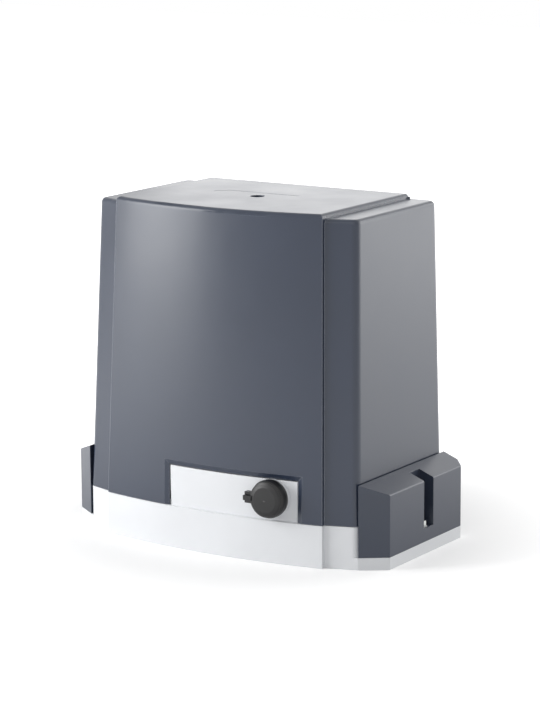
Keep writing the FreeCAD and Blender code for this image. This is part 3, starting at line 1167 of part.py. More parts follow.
def make_foot_caps():
    """Right foot cap: hollow moulded shoe with an open channel, which drops over the base's boss,
    levelling stud and lock nut; the left mirrors it."""
    inner = "shoulder_half + cap_gap"
    outer = "overall_width / 2"
    cap = doc.addObject("PartDesign::Body", "foot_cap_right")
    keep("foot_cap_right", cap)
    outline = [(inner, "-shoulder_edge"), (outer, "-foot_front"), (outer, "foot_back"),
               (f"{outer} - foot_corner", "wall_back"), (inner, "wall_back")]
    low = "flange_thick + 0.1"
    extrude(cap, "Pad", add_loop(new_sketch(cap, "XY_Plane", "cap_outline", low), outline),
            f"cap_high_inner - {low}")
    slope = add_loop(new_sketch(cap, "XZ_Plane", "cap_slope"), [
        (inner, "cap_high_inner"), (f"{outer} + 1", "cap_high_outer"),
        (f"{outer} + 1", "cap_high_inner + 9"), (inner, "cap_high_inner + 9")])
    extrude(cap, "Pocket", slope, "300", midplane=True)
    doc.recompute()
    side = number(outer)
    dress(cap, "Fillet", cap.Tip, "cap_round", lambda e: middle(e).x > side - 0.5
          and e.BoundBox.YLength > 50 and middle(e).z > 40)
    for label, y0, y1 in (("front", "-shoulder_edge", "-channel_half - cap_wall"),
                          ("back", "channel_half + cap_wall", "foot_back - cap_wall")):
        room = new_sketch(cap, "XY_Plane", f"cap_room_{label}", f"{low} - 1")
        if label == "front":
            add_loop(room, [(f"{inner} + cap_wall", f"{y0} + cap_wall * 2"),
                            (f"{outer} - cap_wall", "-foot_front + cap_wall * 0.6"),
                            (f"{outer} - cap_wall", y1), (f"{inner} + cap_wall", y1)])
        else:
            add_loop(room, box_corners(f"{inner} + cap_wall", f"{outer} - cap_wall", y0, y1))
        extrude(cap, "Pocket", room, f"cap_high_outer - cap_wall * 2 - {low}", backwards=True)
    channel = add_loop(new_sketch(cap, "XY_Plane", "cap_channel", "channel_floor"), box_corners(
        f"{outer} - channel_deep", f"{outer} + 2", "-channel_half", "channel_half"))
    extrude(cap, "Pocket", channel, "100", backwards=True)
    hole = add_circle(new_sketch(cap, "XY_Plane", "cap_boss_hole", f"{low} - 1"), "stud_x", "0",
                      "stud_boss_rad + stud_boss_gap")
    extrude(cap, "Pocket", hole, "60", backwards=True)
    mirrored = doc.addObject("Part::Mirroring", "foot_cap_left")
    mirrored.Source = cap
    mirrored.Normal = X
    keep("foot_cap_left", mirrored)
    tip = "channel_floor + stud_over"
    stud = turned("cap_stud", [("0", "2"), ("stud_rad", "2"), ("stud_rad", f"{tip} - 1"),
                               ("stud_rad - 0.6", tip), ("0", tip)], register=False)
    group("cap_studs", stud, [("stud_x", "0", "0"), ("-stud_x", "0", "0")])
    nut = doc.addObject("PartDesign::Body", "cap_nut")
    hexagon = new_sketch(nut, "XY_Plane", "cap_nut_hexagon", "channel_floor")
    add_hexagon(hexagon, "nut_rad")
    add_circle(hexagon, "0", "0", "stud_rad + fit_gap")
    extrude(nut, "Pad", hexagon, "nut_tall")
    group("cap_nuts", nut, [("stud_x", "0", "0"), ("-stud_x", "0", "0")])


make_cover()
make_base()
make_lid()
make_output_shaft()
make_wheel()
make_clutch()
make_pinion()
make_worm_shaft()
make_stator()
make_shields()
make_rotor()
make_release()
make_cover_fixing()
make_capacitor()
make_controls()
make_limit_switch()
make_foot_caps()


# ---------------------------------------------------------------- check and write

def write_nodes():
    """Check every object, then write one STEP file for each node."""
    doc.recompute()
    faults = [o.Name for o in doc.Objects if {"Invalid", "Error"} & set(o.State)]
    for name, item in nodes.items():
        shape = item.Shape
        if shape.isNull() or not shape.isValid() or not shape.Solids:
            faults.append(name)
    if faults:
        raise RuntimeError(f"not built: {faults}")
    os.makedirs("parts", exist_ok=True)
    for name, item in nodes.items():
        item.Shape.exportStep(f"parts/{name}.step")
        print(f"{name}: {len(item.Shape.Solids)} solids, {item.Shape.Volume / 1000:.1f} cm3")


write_nodes()
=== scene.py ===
"""Looks of a sliding gate motor: a bowed plastic cover on a painted casting, works inside."""

import logging
import math
from dataclasses import dataclass
from enum import Enum

import bmesh
import bpy
import numpy as np
from mathutils import Euler, Matrix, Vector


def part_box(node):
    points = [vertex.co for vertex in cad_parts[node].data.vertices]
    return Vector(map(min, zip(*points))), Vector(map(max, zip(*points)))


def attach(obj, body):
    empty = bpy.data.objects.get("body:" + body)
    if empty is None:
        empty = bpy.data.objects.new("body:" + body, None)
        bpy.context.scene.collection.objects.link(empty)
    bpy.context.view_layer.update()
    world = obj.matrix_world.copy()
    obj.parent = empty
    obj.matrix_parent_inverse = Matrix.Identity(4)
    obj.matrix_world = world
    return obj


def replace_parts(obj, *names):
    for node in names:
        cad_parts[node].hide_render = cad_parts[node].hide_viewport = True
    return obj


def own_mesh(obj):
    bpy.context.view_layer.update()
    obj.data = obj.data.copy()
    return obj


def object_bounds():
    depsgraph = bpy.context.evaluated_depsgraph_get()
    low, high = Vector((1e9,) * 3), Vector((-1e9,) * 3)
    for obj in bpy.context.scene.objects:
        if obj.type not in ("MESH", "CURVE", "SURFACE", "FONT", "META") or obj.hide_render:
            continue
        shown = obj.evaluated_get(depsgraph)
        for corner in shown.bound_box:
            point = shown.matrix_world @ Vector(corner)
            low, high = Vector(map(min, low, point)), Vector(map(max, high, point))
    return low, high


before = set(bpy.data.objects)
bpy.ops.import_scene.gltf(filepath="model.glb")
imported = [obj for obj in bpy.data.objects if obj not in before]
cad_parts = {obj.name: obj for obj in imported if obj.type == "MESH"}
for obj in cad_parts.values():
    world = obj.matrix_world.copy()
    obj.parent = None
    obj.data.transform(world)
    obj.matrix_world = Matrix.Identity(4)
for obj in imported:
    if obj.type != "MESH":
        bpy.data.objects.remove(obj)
CAD_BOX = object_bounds()
LOG = logging.getLogger("gate_motor")
MERGE_DISTANCE = 1e-6
MILLIMETRE = 0.001

Vector3 = tuple[float, float, float]
Colour = tuple[float, float, float]


# ---------------------------------------------------------------- shader building


def linear(red: int, green: int, blue: int) -> Colour:
    """Turn a display colour into scene-linear light.

    Args:
        red: Red, 0 to 255.
        green: Green, 0 to 255.
        blue: Blue, 0 to 255.

    Returns:
        The colour as three linear values from 0 to 1.
    """
    values = np.array([red, green, blue]) / 255.0
    low = values / 12.92
    high = ((values + 0.055) / 1.055) ** 2.4
    return tuple(float(v) for v in np.where(values <= 0.04045, low, high))


class Graph:
    """A thin writer of shader nodes for one material or one node group."""

    def __init__(self, tree: bpy.types.NodeTree) -> None:
        """Start on a tree.

        Args:
            tree: The node tree that receives the nodes.
        """
        self.tree = tree

    def add(self, kind: str, **settings: object) -> bpy.types.Node:
        """Add one node and set its properties by name.

        Args:
            kind: Node class name without the ShaderNode prefix.
            settings: Properties of the node.

        Returns:
            The new node.
        """
        node = self.tree.nodes.new(f"ShaderNode{kind}")
        for name, value in settings.items():
            setattr(node, name, value)
        return node

    def feed(self, socket: bpy.types.NodeSocket, source: object) -> None:
        """Give a socket a link or a plain value.

        Args:
            socket: Input socket to fill.
            source: Output socket, number or tuple.
        """
        if isinstance(source, bpy.types.NodeSocket):
            self.tree.links.new(source, socket)
        elif isinstance(source, tuple) and len(source) == 3 and socket.type == "RGBA":
            socket.default_value = (*source, 1.0)
        else:
            socket.default_value = source

    def math(self, operation: str, first: object, second: object = 0.0,
             clamp: bool = False) -> object:
        """Add a Math node.

        Args:
            operation: Math operation name.
            first: First input.
            second: Second input.
            clamp: Whether the result stays between 0 and 1.

        Returns:
            The output socket.
        """
        node = self.add("Math", operation=operation, use_clamp=clamp)
        self.feed(node.inputs[0], first)
        self.feed(node.inputs[1], second)
        return node.outputs[0]

    def mix(self, amount: object, first: object, second: object) -> object:
        """Mix two colours.

        Args:
            amount: Share of the second colour.
            first: Colour at 0.
            second: Colour at 1.

        Returns:
            The mixed colour socket.
        """
        node = self.add("Mix", data_type="RGBA")
        self.feed(node.inputs[0], amount)
        self.feed(node.inputs[6], first)
        self.feed(node.inputs[7], second)
        return node.outputs[2]

    def ramp(self, value: object, low: float, high: float, to_low: float, to_high: float) -> object:
        """Map a value's range to another range, clamped.

        Args:
            value: Input socket.
            low: Input value that gives to_low.
            high: Input value that gives to_high.
            to_low: Result at low.
            to_high: Result at high.

        Returns:
            The mapped value socket.
        """
        node = self.add("MapRange")
        for index, source in enumerate((value, low, high, to_low, to_high)):
            self.feed(node.inputs[index], source)
        return node.outputs[0]

    def noise(self, scale: float, detail: float = 2.0, roughness: float = 0.5,
              stretch: Vector3 = (1.0, 1.0, 1.0)) -> object:
        """Noise over Object coordinates.

        Args:
            scale: Repeats to the metre.
            detail: Octaves of the noise.
            roughness: Strength of the finer octaves.
            stretch: Scale along each axis, for brushed or drawn finishes.

        Returns:
            The noise value socket.
        """
        place = self.add("TexCoord")
        mapping = self.add("Mapping")
        mapping.inputs["Scale"].default_value = stretch
        self.tree.links.new(place.outputs["Object"], mapping.inputs[0])
        node = self.add("TexNoise")
        self.tree.links.new(mapping.outputs[0], node.inputs["Vector"])
        node.inputs["Scale"].default_value = scale
        node.inputs["Detail"].default_value = detail
        node.inputs["Roughness"].default_value = roughness
        return node.outputs[0]


def new_group(name: str, inputs: dict[str, float], outputs: dict[str, str]) -> bpy.types.NodeTree:
    """Make an empty shader node group with named sockets.

    Args:
        name: Name of the group.
        inputs: Float inputs with their default values.
        outputs: Output names with their socket types.

    Returns:
        The group, with its input and output nodes in place.
    """
    group = bpy.data.node_groups.new(name, "ShaderNodeTree")
    for label, value in inputs.items():
        socket = group.interface.new_socket(label, in_out="INPUT", socket_type="NodeSocketFloat")
        socket.default_value = value
    for label, kind in outputs.items():
        group.interface.new_socket(label, in_out="OUTPUT", socket_type=kind)
    group.nodes.new("NodeGroupInput")
    group.nodes.new("NodeGroupOutput")
    return group


def group_ends(group: bpy.types.NodeTree) -> tuple[bpy.types.Node, bpy.types.Node]:
    """Find a group's input and output nodes.

    Args:
        group: The node group.

    Returns:
        The input node and the output node.
    """
    found = {n.bl_idname: n for n in group.nodes}
    return found["NodeGroupInput"], found["NodeGroupOutput"]


def edge_group() -> bpy.types.NodeTree:
    """Soft edges: rounded shading normal, and a mask that is 1 where the surface turns sharply.

    The mask is one minus the cosine between the true normal and the normal of a rounded edge.

    Returns:
        The node group.
    """
    group = new_group("soft_edges", {"Radius": 0.0006, "Gain": 6.0},
                      {"Normal": "NodeSocketVector", "Mask": "NodeSocketFloat"})
    start, end = group_ends(group)
    graph = Graph(group)
    bevel = graph.add("Bevel", samples=4)
    group.links.new(start.outputs["Radius"], bevel.inputs["Radius"])
    geometry = graph.add("NewGeometry")
    dot = graph.add("VectorMath", operation="DOT_PRODUCT")
    group.links.new(bevel.outputs[0], dot.inputs[0])
    group.links.new(geometry.outputs["Normal"], dot.inputs[1])
    away = graph.math("SUBTRACT", 1.0, dot.outputs["Value"])
    mask = graph.math("MULTIPLY", away, start.outputs["Gain"], clamp=True)
    group.links.new(bevel.outputs[0], end.inputs["Normal"])
    group.links.new(mask, end.inputs["Mask"])
    return group


def grain_group() -> bpy.types.NodeTree:
    """Moulded or cast skin: fine pebble grain over slow waves, as one height value.

    Returns:
        The node group.
    """
    group = new_group("skin_grain", {"Fine": 900.0, "Coarse": 60.0, "Coarse share": 0.3},
                      {"Height": "NodeSocketFloat"})
    start, end = group_ends(group)
    graph = Graph(group)
    place = graph.add("TexCoord")
    values = []
    for label, detail in (("Fine", 3.0), ("Coarse", 2.0)):
        noise = graph.add("TexNoise")
        group.links.new(place.outputs["Object"], noise.inputs["Vector"])
        group.links.new(start.outputs[label], noise.inputs["Scale"])
        noise.inputs["Detail"].default_value = detail
        values.append(noise.outputs[0])
    slow = graph.math("MULTIPLY", values[1], start.outputs["Coarse share"])
    group.links.new(graph.math("ADD", values[0], slow), end.inputs["Height"])
    return group


def dust_group() -> bpy.types.NodeTree:
    """Settled dust: strongest on faces that look up, broken by a slow noise.

    Returns:
        The node group.
    """
    group = new_group("settled_dust", {"Amount": 0.2, "Scale": 25.0}, {"Mask": "NodeSocketFloat"})
    start, end = group_ends(group)
    graph = Graph(group)
    geometry = graph.add("NewGeometry")
    split = graph.add("SeparateXYZ")
    group.links.new(geometry.outputs["Normal"], split.inputs[0])
    up = graph.ramp(split.outputs["Z"], 0.2, 1.0, 0.15, 1.0)
    place = graph.add("TexCoord")
    noise = graph.add("TexNoise")
    group.links.new(place.outputs["Object"], noise.inputs["Vector"])
    group.links.new(start.outputs["Scale"], noise.inputs["Scale"])
    noise.inputs["Detail"].default_value = 4.0
    broken = graph.ramp(noise.outputs[0], 0.35, 0.75, 0.0, 1.0)
    mask = graph.math("MULTIPLY", graph.math("MULTIPLY", up, broken), start.outputs["Amount"], True)
    group.links.new(mask, end.inputs["Mask"])
    return group


@dataclass(frozen=True)
class Effects:
    """The shared shader node groups."""

    edges: bpy.types.NodeTree
    grain: bpy.types.NodeTree
    dust: bpy.types.NodeTree


EFFECTS = Effects(edge_group(), grain_group(), dust_group())
DUST_COLOUR: Colour = (0.42, 0.40, 0.37)
DUST_ROUGHNESS = 0.4
PATCH_RANGE = (0.3, 0.7)


class Metal(Enum):
    """Whether a finish conducts."""

    NO = 0.0
    YES = 1.0


@dataclass(frozen=True)
class Finish:
    """One surface finish: a colour with slow variation, grain, soft edges, a colour mixed in on
    sharp edges (wear on most finishes, a painted edge highlight on the slate cover) and dust.
    """

    name: str
    colour: Colour
    roughness: float
    metal: Metal = Metal.NO
    variation: float = 0.06
    patch_scale: float = 14.0
    grain_fine: float = 900.0
    grain_coarse: float = 60.0
    coarse_share: float = 0.3
    grain_height: float = 0.00004
    roughness_swing: float = 0.06
    edge_radius: float = 0.0005
    edge_wear_and_highlight: float = 0.15
    edge_wear_and_highlight_colour: Colour = (0.5, 0.5, 0.5)
    dust: float = 0.0
    coat: float = 0.0
    coat_roughness: float = 0.1
    specular: float = 0.5
    brushed: Vector3 = (1.0, 1.0, 1.0)

    def build(self) -> bpy.types.Material:
        """Make the material.

        Returns:
            The finished material.
        """
        material = bpy.data.materials.new(self.name)
        material.use_nodes = True
        tree = material.node_tree
        graph = Graph(tree)
        shader = tree.nodes["Principled BSDF"]
        edges = self.place_group(graph, EFFECTS.edges, {"Radius": self.edge_radius})
        grain = self.place_group(graph, EFFECTS.grain, {
            "Fine": self.grain_fine, "Coarse": self.grain_coarse,
            "Coarse share": self.coarse_share})
        patches = graph.noise(self.patch_scale, 3.0, 0.55, self.brushed)
        dark = tuple(c * (1.0 - self.variation) for c in self.colour)
        light = tuple(min(1.0, c * (1.0 + self.variation)) for c in self.colour)
        colour = graph.mix(graph.ramp(patches, *PATCH_RANGE, 0.0, 1.0), dark, light)
        # Sharp edges take the edge colour: wear on most finishes, a painted highlight along the
        # slate cover's edges.
        edge_wear_and_highlight_share = graph.math("MULTIPLY", edges.outputs["Mask"], self.edge_wear_and_highlight)
        colour = graph.mix(edge_wear_and_highlight_share, colour, self.edge_wear_and_highlight_colour)
        rough = graph.ramp(patches, *PATCH_RANGE, self.roughness - self.roughness_swing,
                           self.roughness + self.roughness_swing)
        if self.dust > 0:
            dust = self.place_group(graph, EFFECTS.dust, {"Amount": self.dust})
            colour = graph.mix(dust.outputs[0], colour, DUST_COLOUR)
            dulled = graph.math("MULTIPLY", dust.outputs[0], DUST_ROUGHNESS)
            rough = graph.math("ADD", rough, dulled, True)
        bump = graph.add("Bump")
        bump.inputs["Strength"].default_value = 1.0
        bump.inputs["Distance"].default_value = self.grain_height
        tree.links.new(grain.outputs["Height"], bump.inputs["Height"])
        tree.links.new(edges.outputs["Normal"], bump.inputs["Normal"])
        tree.links.new(bump.outputs[0], shader.inputs["Normal"])
        tree.links.new(colour, shader.inputs["Base Color"])
        tree.links.new(rough, shader.inputs["Roughness"])
        shader.inputs["Metallic"].default_value = self.metal.value
        shader.inputs["Specular IOR Level"].default_value = self.specular
        shader.inputs["Coat Weight"].default_value = self.coat
        shader.inputs["Coat Roughness"].default_value = self.coat_roughness
        return material

    def place_group(self, graph: Graph, group: bpy.types.NodeTree,
                    values: dict[str, float]) -> bpy.types.Node:
        """Put a shared group into this material with its own values.

        Args:
            graph: Writer of the material's tree.
            group: Node group to place.
            values: Input values by name.

        Returns:
            The group node.
        """
        node = graph.add("Group")
        node.node_tree = group
        for label, value in values.items():
            node.inputs[label].default_value = value
        return node


# The cover's pale edge colour, its large share and its wide edge radius paint a highlight along the
# cover's edges.
SLATE = Finish("cover_slate_plastic", linear(43, 52, 70), 0.31, variation=0.03, grain_fine=1400,
               grain_height=0.000012, edge_wear_and_highlight=0.7, edge_wear_and_highlight_colour=linear(168, 174, 186), coat=0.2,
               coat_roughness=0.25, roughness_swing=0.03, edge_radius=0.0014)
SHOE = Finish("foot_cap_slate_plastic", linear(54, 61, 76), 0.36, variation=0.04, grain_fine=1400,
              grain_height=0.000015, edge_wear_and_highlight=0.14, edge_wear_and_highlight_colour=linear(150, 156, 168), coat=0.15,
              coat_roughness=0.3, edge_radius=0.0008)
PAINT = Finish("base_silver_paint", linear(230, 232, 235), 0.36, variation=0.02, grain_fine=700,
               grain_height=0.00003, edge_wear_and_highlight=0.2, edge_wear_and_highlight_colour=linear(196, 198, 202),
               roughness_swing=0.03, edge_radius=0.0009, specular=0.5)
CASTING = Finish("bare_casting", linear(182, 184, 187), 0.42, Metal.YES, grain_fine=500,
                 grain_height=0.00006, variation=0.08, edge_wear_and_highlight=0.3, edge_wear_and_highlight_colour=linear(222, 223, 225))
STEEL = Finish("ground_steel", linear(176, 178, 182), 0.26, Metal.YES, grain_fine=1600,
               grain_height=0.000012, variation=0.08, edge_wear_and_highlight=0.4, edge_wear_and_highlight_colour=linear(220, 222, 225))
GEAR_STEEL = Finish("cut_gear_steel", linear(140, 141, 145), 0.34, Metal.YES, variation=0.12,
                    grain_height=0.00002, edge_wear_and_highlight=0.6, edge_wear_and_highlight_colour=linear(205, 207, 212))
ZINC = Finish("zinc_plate", linear(204, 206, 204), 0.24, Metal.YES, variation=0.06,
              grain_height=0.00001, edge_wear_and_highlight=0.2, edge_wear_and_highlight_colour=linear(235, 235, 232))
BRONZE = Finish("cut_bronze", linear(196, 150, 84), 0.3, Metal.YES, variation=0.08,
                grain_height=0.00002, edge_wear_and_highlight=0.5, edge_wear_and_highlight_colour=linear(232, 196, 132))
BLACK = Finish("release_black_plastic", linear(9, 9, 11), 0.42, variation=0.1, grain_fine=1100,
               grain_height=0.00003, edge_wear_and_highlight=0.25, edge_wear_and_highlight_colour=linear(96, 97, 102))
INNER_BLACK = Finish("inner_black_plastic", linear(44, 44, 46), 0.5, variation=0.08,
                     grain_height=0.00004, edge_wear_and_highlight=0.2, edge_wear_and_highlight_colour=linear(92, 92, 94), dust=0.15)
RUBBER = Finish("seal_rubber", linear(34, 33, 33), 0.7, variation=0.1, grain_height=0.00004,
                edge_wear_and_highlight=0.1, edge_wear_and_highlight_colour=linear(70, 69, 68))
LAMINATION = Finish("varnished_laminations", linear(78, 80, 86), 0.38, Metal.YES, variation=0.16,
                    brushed=(0.1, 0.1, 60.0), edge_wear_and_highlight=0.4, edge_wear_and_highlight_colour=linear(150, 150, 152))
COPPER = Finish("varnished_copper", linear(150, 76, 38), 0.3, variation=0.22, coat=0.6,
                brushed=(1.0, 1.0, 30.0), patch_scale=40, edge_wear_and_highlight=0.3,
                edge_wear_and_highlight_colour=linear(206, 120, 66))
TAPE = Finish("winding_tape", linear(212, 178, 84), 0.45, variation=0.1, brushed=(1.0, 1.0, 20.0),
              edge_wear_and_highlight=0.1, edge_wear_and_highlight_colour=linear(232, 206, 126))
CAN = Finish("capacitor_can", linear(222, 222, 216), 0.38, variation=0.03, edge_wear_and_highlight=0.1,
             edge_wear_and_highlight_colour=linear(236, 236, 232), dust=0.1)
BOARD = Finish("green_circuit_board", linear(26, 92, 52), 0.35, variation=0.18, coat=0.4,
               patch_scale=60, edge_wear_and_highlight=0.3, edge_wear_and_highlight_colour=linear(180, 174, 120))
RELAY = Finish("relay_blue", linear(28, 66, 142), 0.36, variation=0.05, edge_wear_and_highlight=0.2,
               edge_wear_and_highlight_colour=linear(80, 112, 176))
TERMINAL = Finish("terminal_green", linear(38, 128, 66), 0.42, variation=0.06, edge_wear_and_highlight=0.2,
                  edge_wear_and_highlight_colour=linear(92, 164, 110))
NYLON = Finish("header_nylon", linear(226, 222, 206), 0.5, variation=0.04, edge_wear_and_highlight=0.1,
               edge_wear_and_highlight_colour=linear(240, 238, 228))
CHIP = Finish("chip_package", linear(30, 30, 32), 0.55, variation=0.06, edge_wear_and_highlight=0.1)
STRAP = Finish("yellow_passivated_strap", linear(158, 146, 108), 0.36, Metal.YES, variation=0.16,
               patch_scale=60, grain_fine=900)
NICKEL = Finish("nickel_lock", linear(150, 147, 140), 0.3, Metal.YES, variation=0.05, edge_wear_and_highlight=0.2,
                edge_wear_and_highlight_colour=linear(236, 234, 228), grain_height=0.00001)
CAN_SLEEVE = Finish("capacitor_sleeve", linear(34, 38, 58), 0.32, variation=0.08, coat=0.3,
                    edge_wear_and_highlight=0.1)
RESISTOR = Finish("resistor_lacquer", linear(186, 150, 104), 0.38, variation=0.12, patch_scale=300,
                  edge_wear_and_highlight=0.1)
FUSE_GLASS = Finish("fuse_tube", linear(196, 206, 204), 0.08, variation=0.05, specular=0.8,
                    edge_wear_and_highlight=0.05)

NODE_FINISH: dict[str, Finish] = {
    "cover": SLATE, "foot_cap_left": SHOE, "foot_cap_right": SHOE, "gearcase_base": PAINT,
    "gearcase_lid": CASTING, "case_gasket": RUBBER, "lid_screws": ZINC, "tie_bolts": ZINC,
    "cap_studs": ZINC, "cap_nuts": ZINC, "cover_nut": ZINC, "cover_screw": ZINC,
    "pinion_bolt": ZINC, "pinion_washer": ZINC, "board_screws": ZINC, "cap_hinge_pin": STEEL,
    "output_shaft": STEEL, "clutch_pin": STEEL, "pinion_key": STEEL, "release_rod": STEEL,
    "shaft_bearing_front": STEEL, "shaft_bearing_rear": STEEL, "worm_bearing_lower": STEEL,
    "worm_bearing_upper": STEEL, "motor_bearing": STEEL, "oil_seal": RUBBER,
    "worm_wheel": BRONZE, "clutch_sleeve": GEAR_STEEL, "clutch_spring": STEEL,
    "pinion": GEAR_STEEL, "worm_shaft": STEEL, "rotor_core": LAMINATION,
    "cooling_fan": INNER_BLACK, "stator_core": LAMINATION, "stator_windings": COPPER,
    "motor_shield_lower": CASTING, "motor_shield_upper": CASTING, "cover_bracket": STRAP,
    "run_capacitor": CAN, "capacitor_clamp": ZINC, "board_tray": INNER_BLACK,
    "control_board": BOARD, "relays": RELAY, "terminal_blocks": TERMINAL,
    "plug_headers": NYLON, "radio_module": BOARD, "controller_chip": CHIP,
    "fuse_holder": CHIP, "transformer_core": LAMINATION, "transformer_bobbin": TAPE,
    "cable_grommet": RUBBER, "limit_switch": INNER_BLACK, "limit_arm": INNER_BLACK,
    "release_housing": BLACK, "release_cap": BLACK, "release_lock": NICKEL,
}


class Shelf:
    """Materials that are already made, one for each finish."""

    def __init__(self) -> None:
        """Start empty."""
        self.made: dict[str, bpy.types.Material] = {}

    def take(self, finish: Finish) -> bpy.types.Material:
        """Give a finish's material, made at its first use.

        Args:
            finish: The finish that is asked for.

        Returns:
            The one material of that finish.
        """
        if finish.name not in self.made:
            self.made[finish.name] = finish.build()
        return self.made[finish.name]


SHELF = Shelf()


def dress_nodes() -> None:
    """Give every CAD node its finish."""
    for name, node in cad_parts.items():
        node.data.materials.clear()
        node.data.materials.append(SHELF.take(NODE_FINISH[name]))
        LOG.info("dressed %s in %s", name, NODE_FINISH[name].name)


# ---------------------------------------------------------------- surfaces


def lathe(profile: np.ndarray, centre: Vector3, axis: str = "Z", sides: int = 32) -> np.ndarray:
    """Grid of a turned shape: each (radius, height) of the profile goes once round the axis.

    Point = centre + height * axis + radius * (cos(angle) * first + sin(angle) * second).

    Args:
        profile: Radii and heights, shape (n, 2).
        centre: Point on the axis where the height is 0.
        axis: X, Y or Z.
        sides: Steps round the axis.

    Returns:
        Points of shape (n, sides + 1, 3).
    """
    basis = np.roll(np.eye(3), "ZXY".index(axis), axis=1)
    angle = np.linspace(0.0, 2 * np.pi, sides + 1)
    ring = np.cos(angle)[:, None] * basis[0] + np.sin(angle)[:, None] * basis[1]
    radius, height = np.asarray(profile, dtype=float).T
    return np.asarray(centre) + height[:, None, None] * basis[2] + radius[:, None, None] * ring


def tube(path: np.ndarray, radius: float, reference: Vector3, sides: int = 10) -> np.ndarray:
    """Grid of a round wire: a circle carried along a path, closed to a point at both ends.

    At each point the circle lies in the plane of two unit vectors: the tangent crossed with the
    reference, and that crossed with the tangent.

    Args:
        path: Points along the middle of the wire, shape (n, 3).
        radius: Radius of the wire.
        reference: Direction that is never along the wire.
        sides: Steps round the wire.

    Returns:
        Points of shape (n + 2, sides + 1, 3).
    """
    tangent = np.gradient(path, axis=0)
    tangent /= np.linalg.norm(tangent, axis=1, keepdims=True)
    across = np.cross(tangent, np.asarray(reference))
    across /= np.linalg.norm(across, axis=1, keepdims=True)
    other = np.cross(across, tangent)
    angle = np.linspace(0.0, 2 * np.pi, sides + 1)
    rings = path[:, None] + radius * (np.cos(angle)[None, :, None] * across[:, None]
                                      + np.sin(angle)[None, :, None] * other[:, None])
    ends = [np.repeat(point[None, None], sides + 1, axis=1) for point in (path[0], path[-1])]
    return np.concatenate([ends[0], rings, ends[1]])


def bar(section: np.ndarray, start: np.ndarray, end: np.ndarray) -> np.ndarray:
    """Grid of a straight moulding: a closed section carried from one place to another.

    Args:
        section: Closed outline in space at the start, first point repeated last, shape (n, 3).
        start: Shift of the section at its start.
        end: Shift of the section at its end.

    Returns:
        Points of shape (4, n, 3), whose first and last rows close the ends.
    """
    rows = [section + start, section + end]
    first, last = (np.repeat(row[:-1].mean(axis=0)[None], len(row), axis=0) for row in rows)
    return np.stack([first, *rows, last])


def make_piece(name: str, grids: list[np.ndarray], finish: Finish, body: str,
               smooth_angle: float = 40.0) -> bpy.types.Object:
    """Put grids of points into one mesh, close its seams and poles, dress it and let it ride.

    Args:
        name: Name of the piece.
        grids: Grids of points in metres, each of shape (rows, columns, 3).
        finish: Finish of the piece.
        body: Body that carries it.
        smooth_angle: Edges sharper than this many degrees stay sharp.

    Returns:
        The finished object.
    """
    points, faces, base = [], [], 0
    for grid in grids:
        rows, columns = grid.shape[:2]
        index = base + np.arange(rows * columns).reshape(rows, columns)
        faces.append(np.stack([index[:-1, :-1], index[:-1, 1:], index[1:, 1:], index[1:, :-1]],
                              axis=-1).reshape(-1, 4))
        points.append(grid.reshape(-1, 3))
        base += rows * columns
    mesh = bpy.data.meshes.new(name)
    mesh.from_pydata(np.concatenate(points).tolist(), [], np.concatenate(faces).tolist())
    work = bmesh.new()
    work.from_mesh(mesh)
    bmesh.ops.remove_doubles(work, verts=work.verts, dist=MERGE_DISTANCE)
    bmesh.ops.recalc_face_normals(work, faces=work.faces)
    work.to_mesh(mesh)
    work.free()
    mesh.shade_smooth()
    mesh.set_sharp_from_angle(angle=math.radians(smooth_angle))
    piece = bpy.data.objects.new(name, mesh)
    bpy.context.scene.collection.objects.link(piece)
    mesh.materials.append(SHELF.take(finish))
    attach(piece, body)
    LOG.info("made %s: %d faces, on %s", name, len(mesh.polygons), body)
    return piece


def middle(node: str) -> np.ndarray:
    """Find the centre of a node's box at rest.

    Args:
        node: Name of the CAD node.

    Returns:
        The centre, in metres.
    """
    low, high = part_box(node)
    return (np.asarray(low) + np.asarray(high)) / 2


# ---------------------------------------------------------------- sub-assemblies


@dataclass
class CoverBand:
    """Filler for the slot that the CAD cover leaves open along its raised band.

    The slot runs along the band's right edge and its back edge. Places are in metres.
    """

    band_rise: float = 0.0052
    round_radius: float = 0.005
    wall: float = 0.003
    ledge: float = 0.002
    slot_top: float = 0.003
    band_right: float = 0.1305
    band_back: float = 0.0748
    slot_front: float = -0.0935
    slot_left: float = -0.1226
    round_start: float = 0.075
    arc_points: int = 8

    def build(self) -> None:
        """Make both runs of the filler as one piece.

        The side's section follows the band's rounded edge, x = centre + radius * cos(angle) and
        z = centre + radius * sin(angle), down to the shoulder; the back's is upright.
        """
        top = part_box("cover")[1][2]
        shoulder, high = top - self.band_rise, top - self.slot_top
        floor, inner = shoulder - self.wall, self.ledge
        centre = np.array([self.band_right - self.round_radius, top - self.round_radius])
        stop = math.asin((high - centre[1]) / self.round_radius)
        angle = np.linspace(stop, 0.0, self.arc_points)
        arc = centre + self.round_radius * np.stack([np.cos(angle), np.sin(angle)], axis=1)
        right = self.band_right
        outer = right + self.ledge
        side = np.array([[right - inner, high], *arc, [right, shoulder], [outer, shoulder],
                         [outer, floor], [right - inner, floor], [right - inner, high]])
        side = np.stack([side[:, 0], np.zeros(len(side)), side[:, 1]], axis=1)
        back = self.band_back
        edge = back + self.ledge
        past = edge - self.round_start
        fall = self.round_radius - math.sqrt(self.round_radius ** 2 - past ** 2)
        rear = np.array([[back - inner, high], [back, high], [back, shoulder],
                         [edge, shoulder - fall], [edge, floor], [back - inner, floor],
                         [back - inner, high]])
        rear = np.stack([np.zeros(len(rear)), rear[:, 0], rear[:, 1]], axis=1)
        runs = [bar(side, np.array([0.0, self.slot_front, 0.0]), np.array([0.0, back, 0.0])),
                bar(rear, np.array([self.slot_left, 0.0, 0.0]), np.array([outer, 0.0, 0.0]))]
        make_piece("cover_band_edge", runs, SLATE, "cover", smooth_angle=30.0)


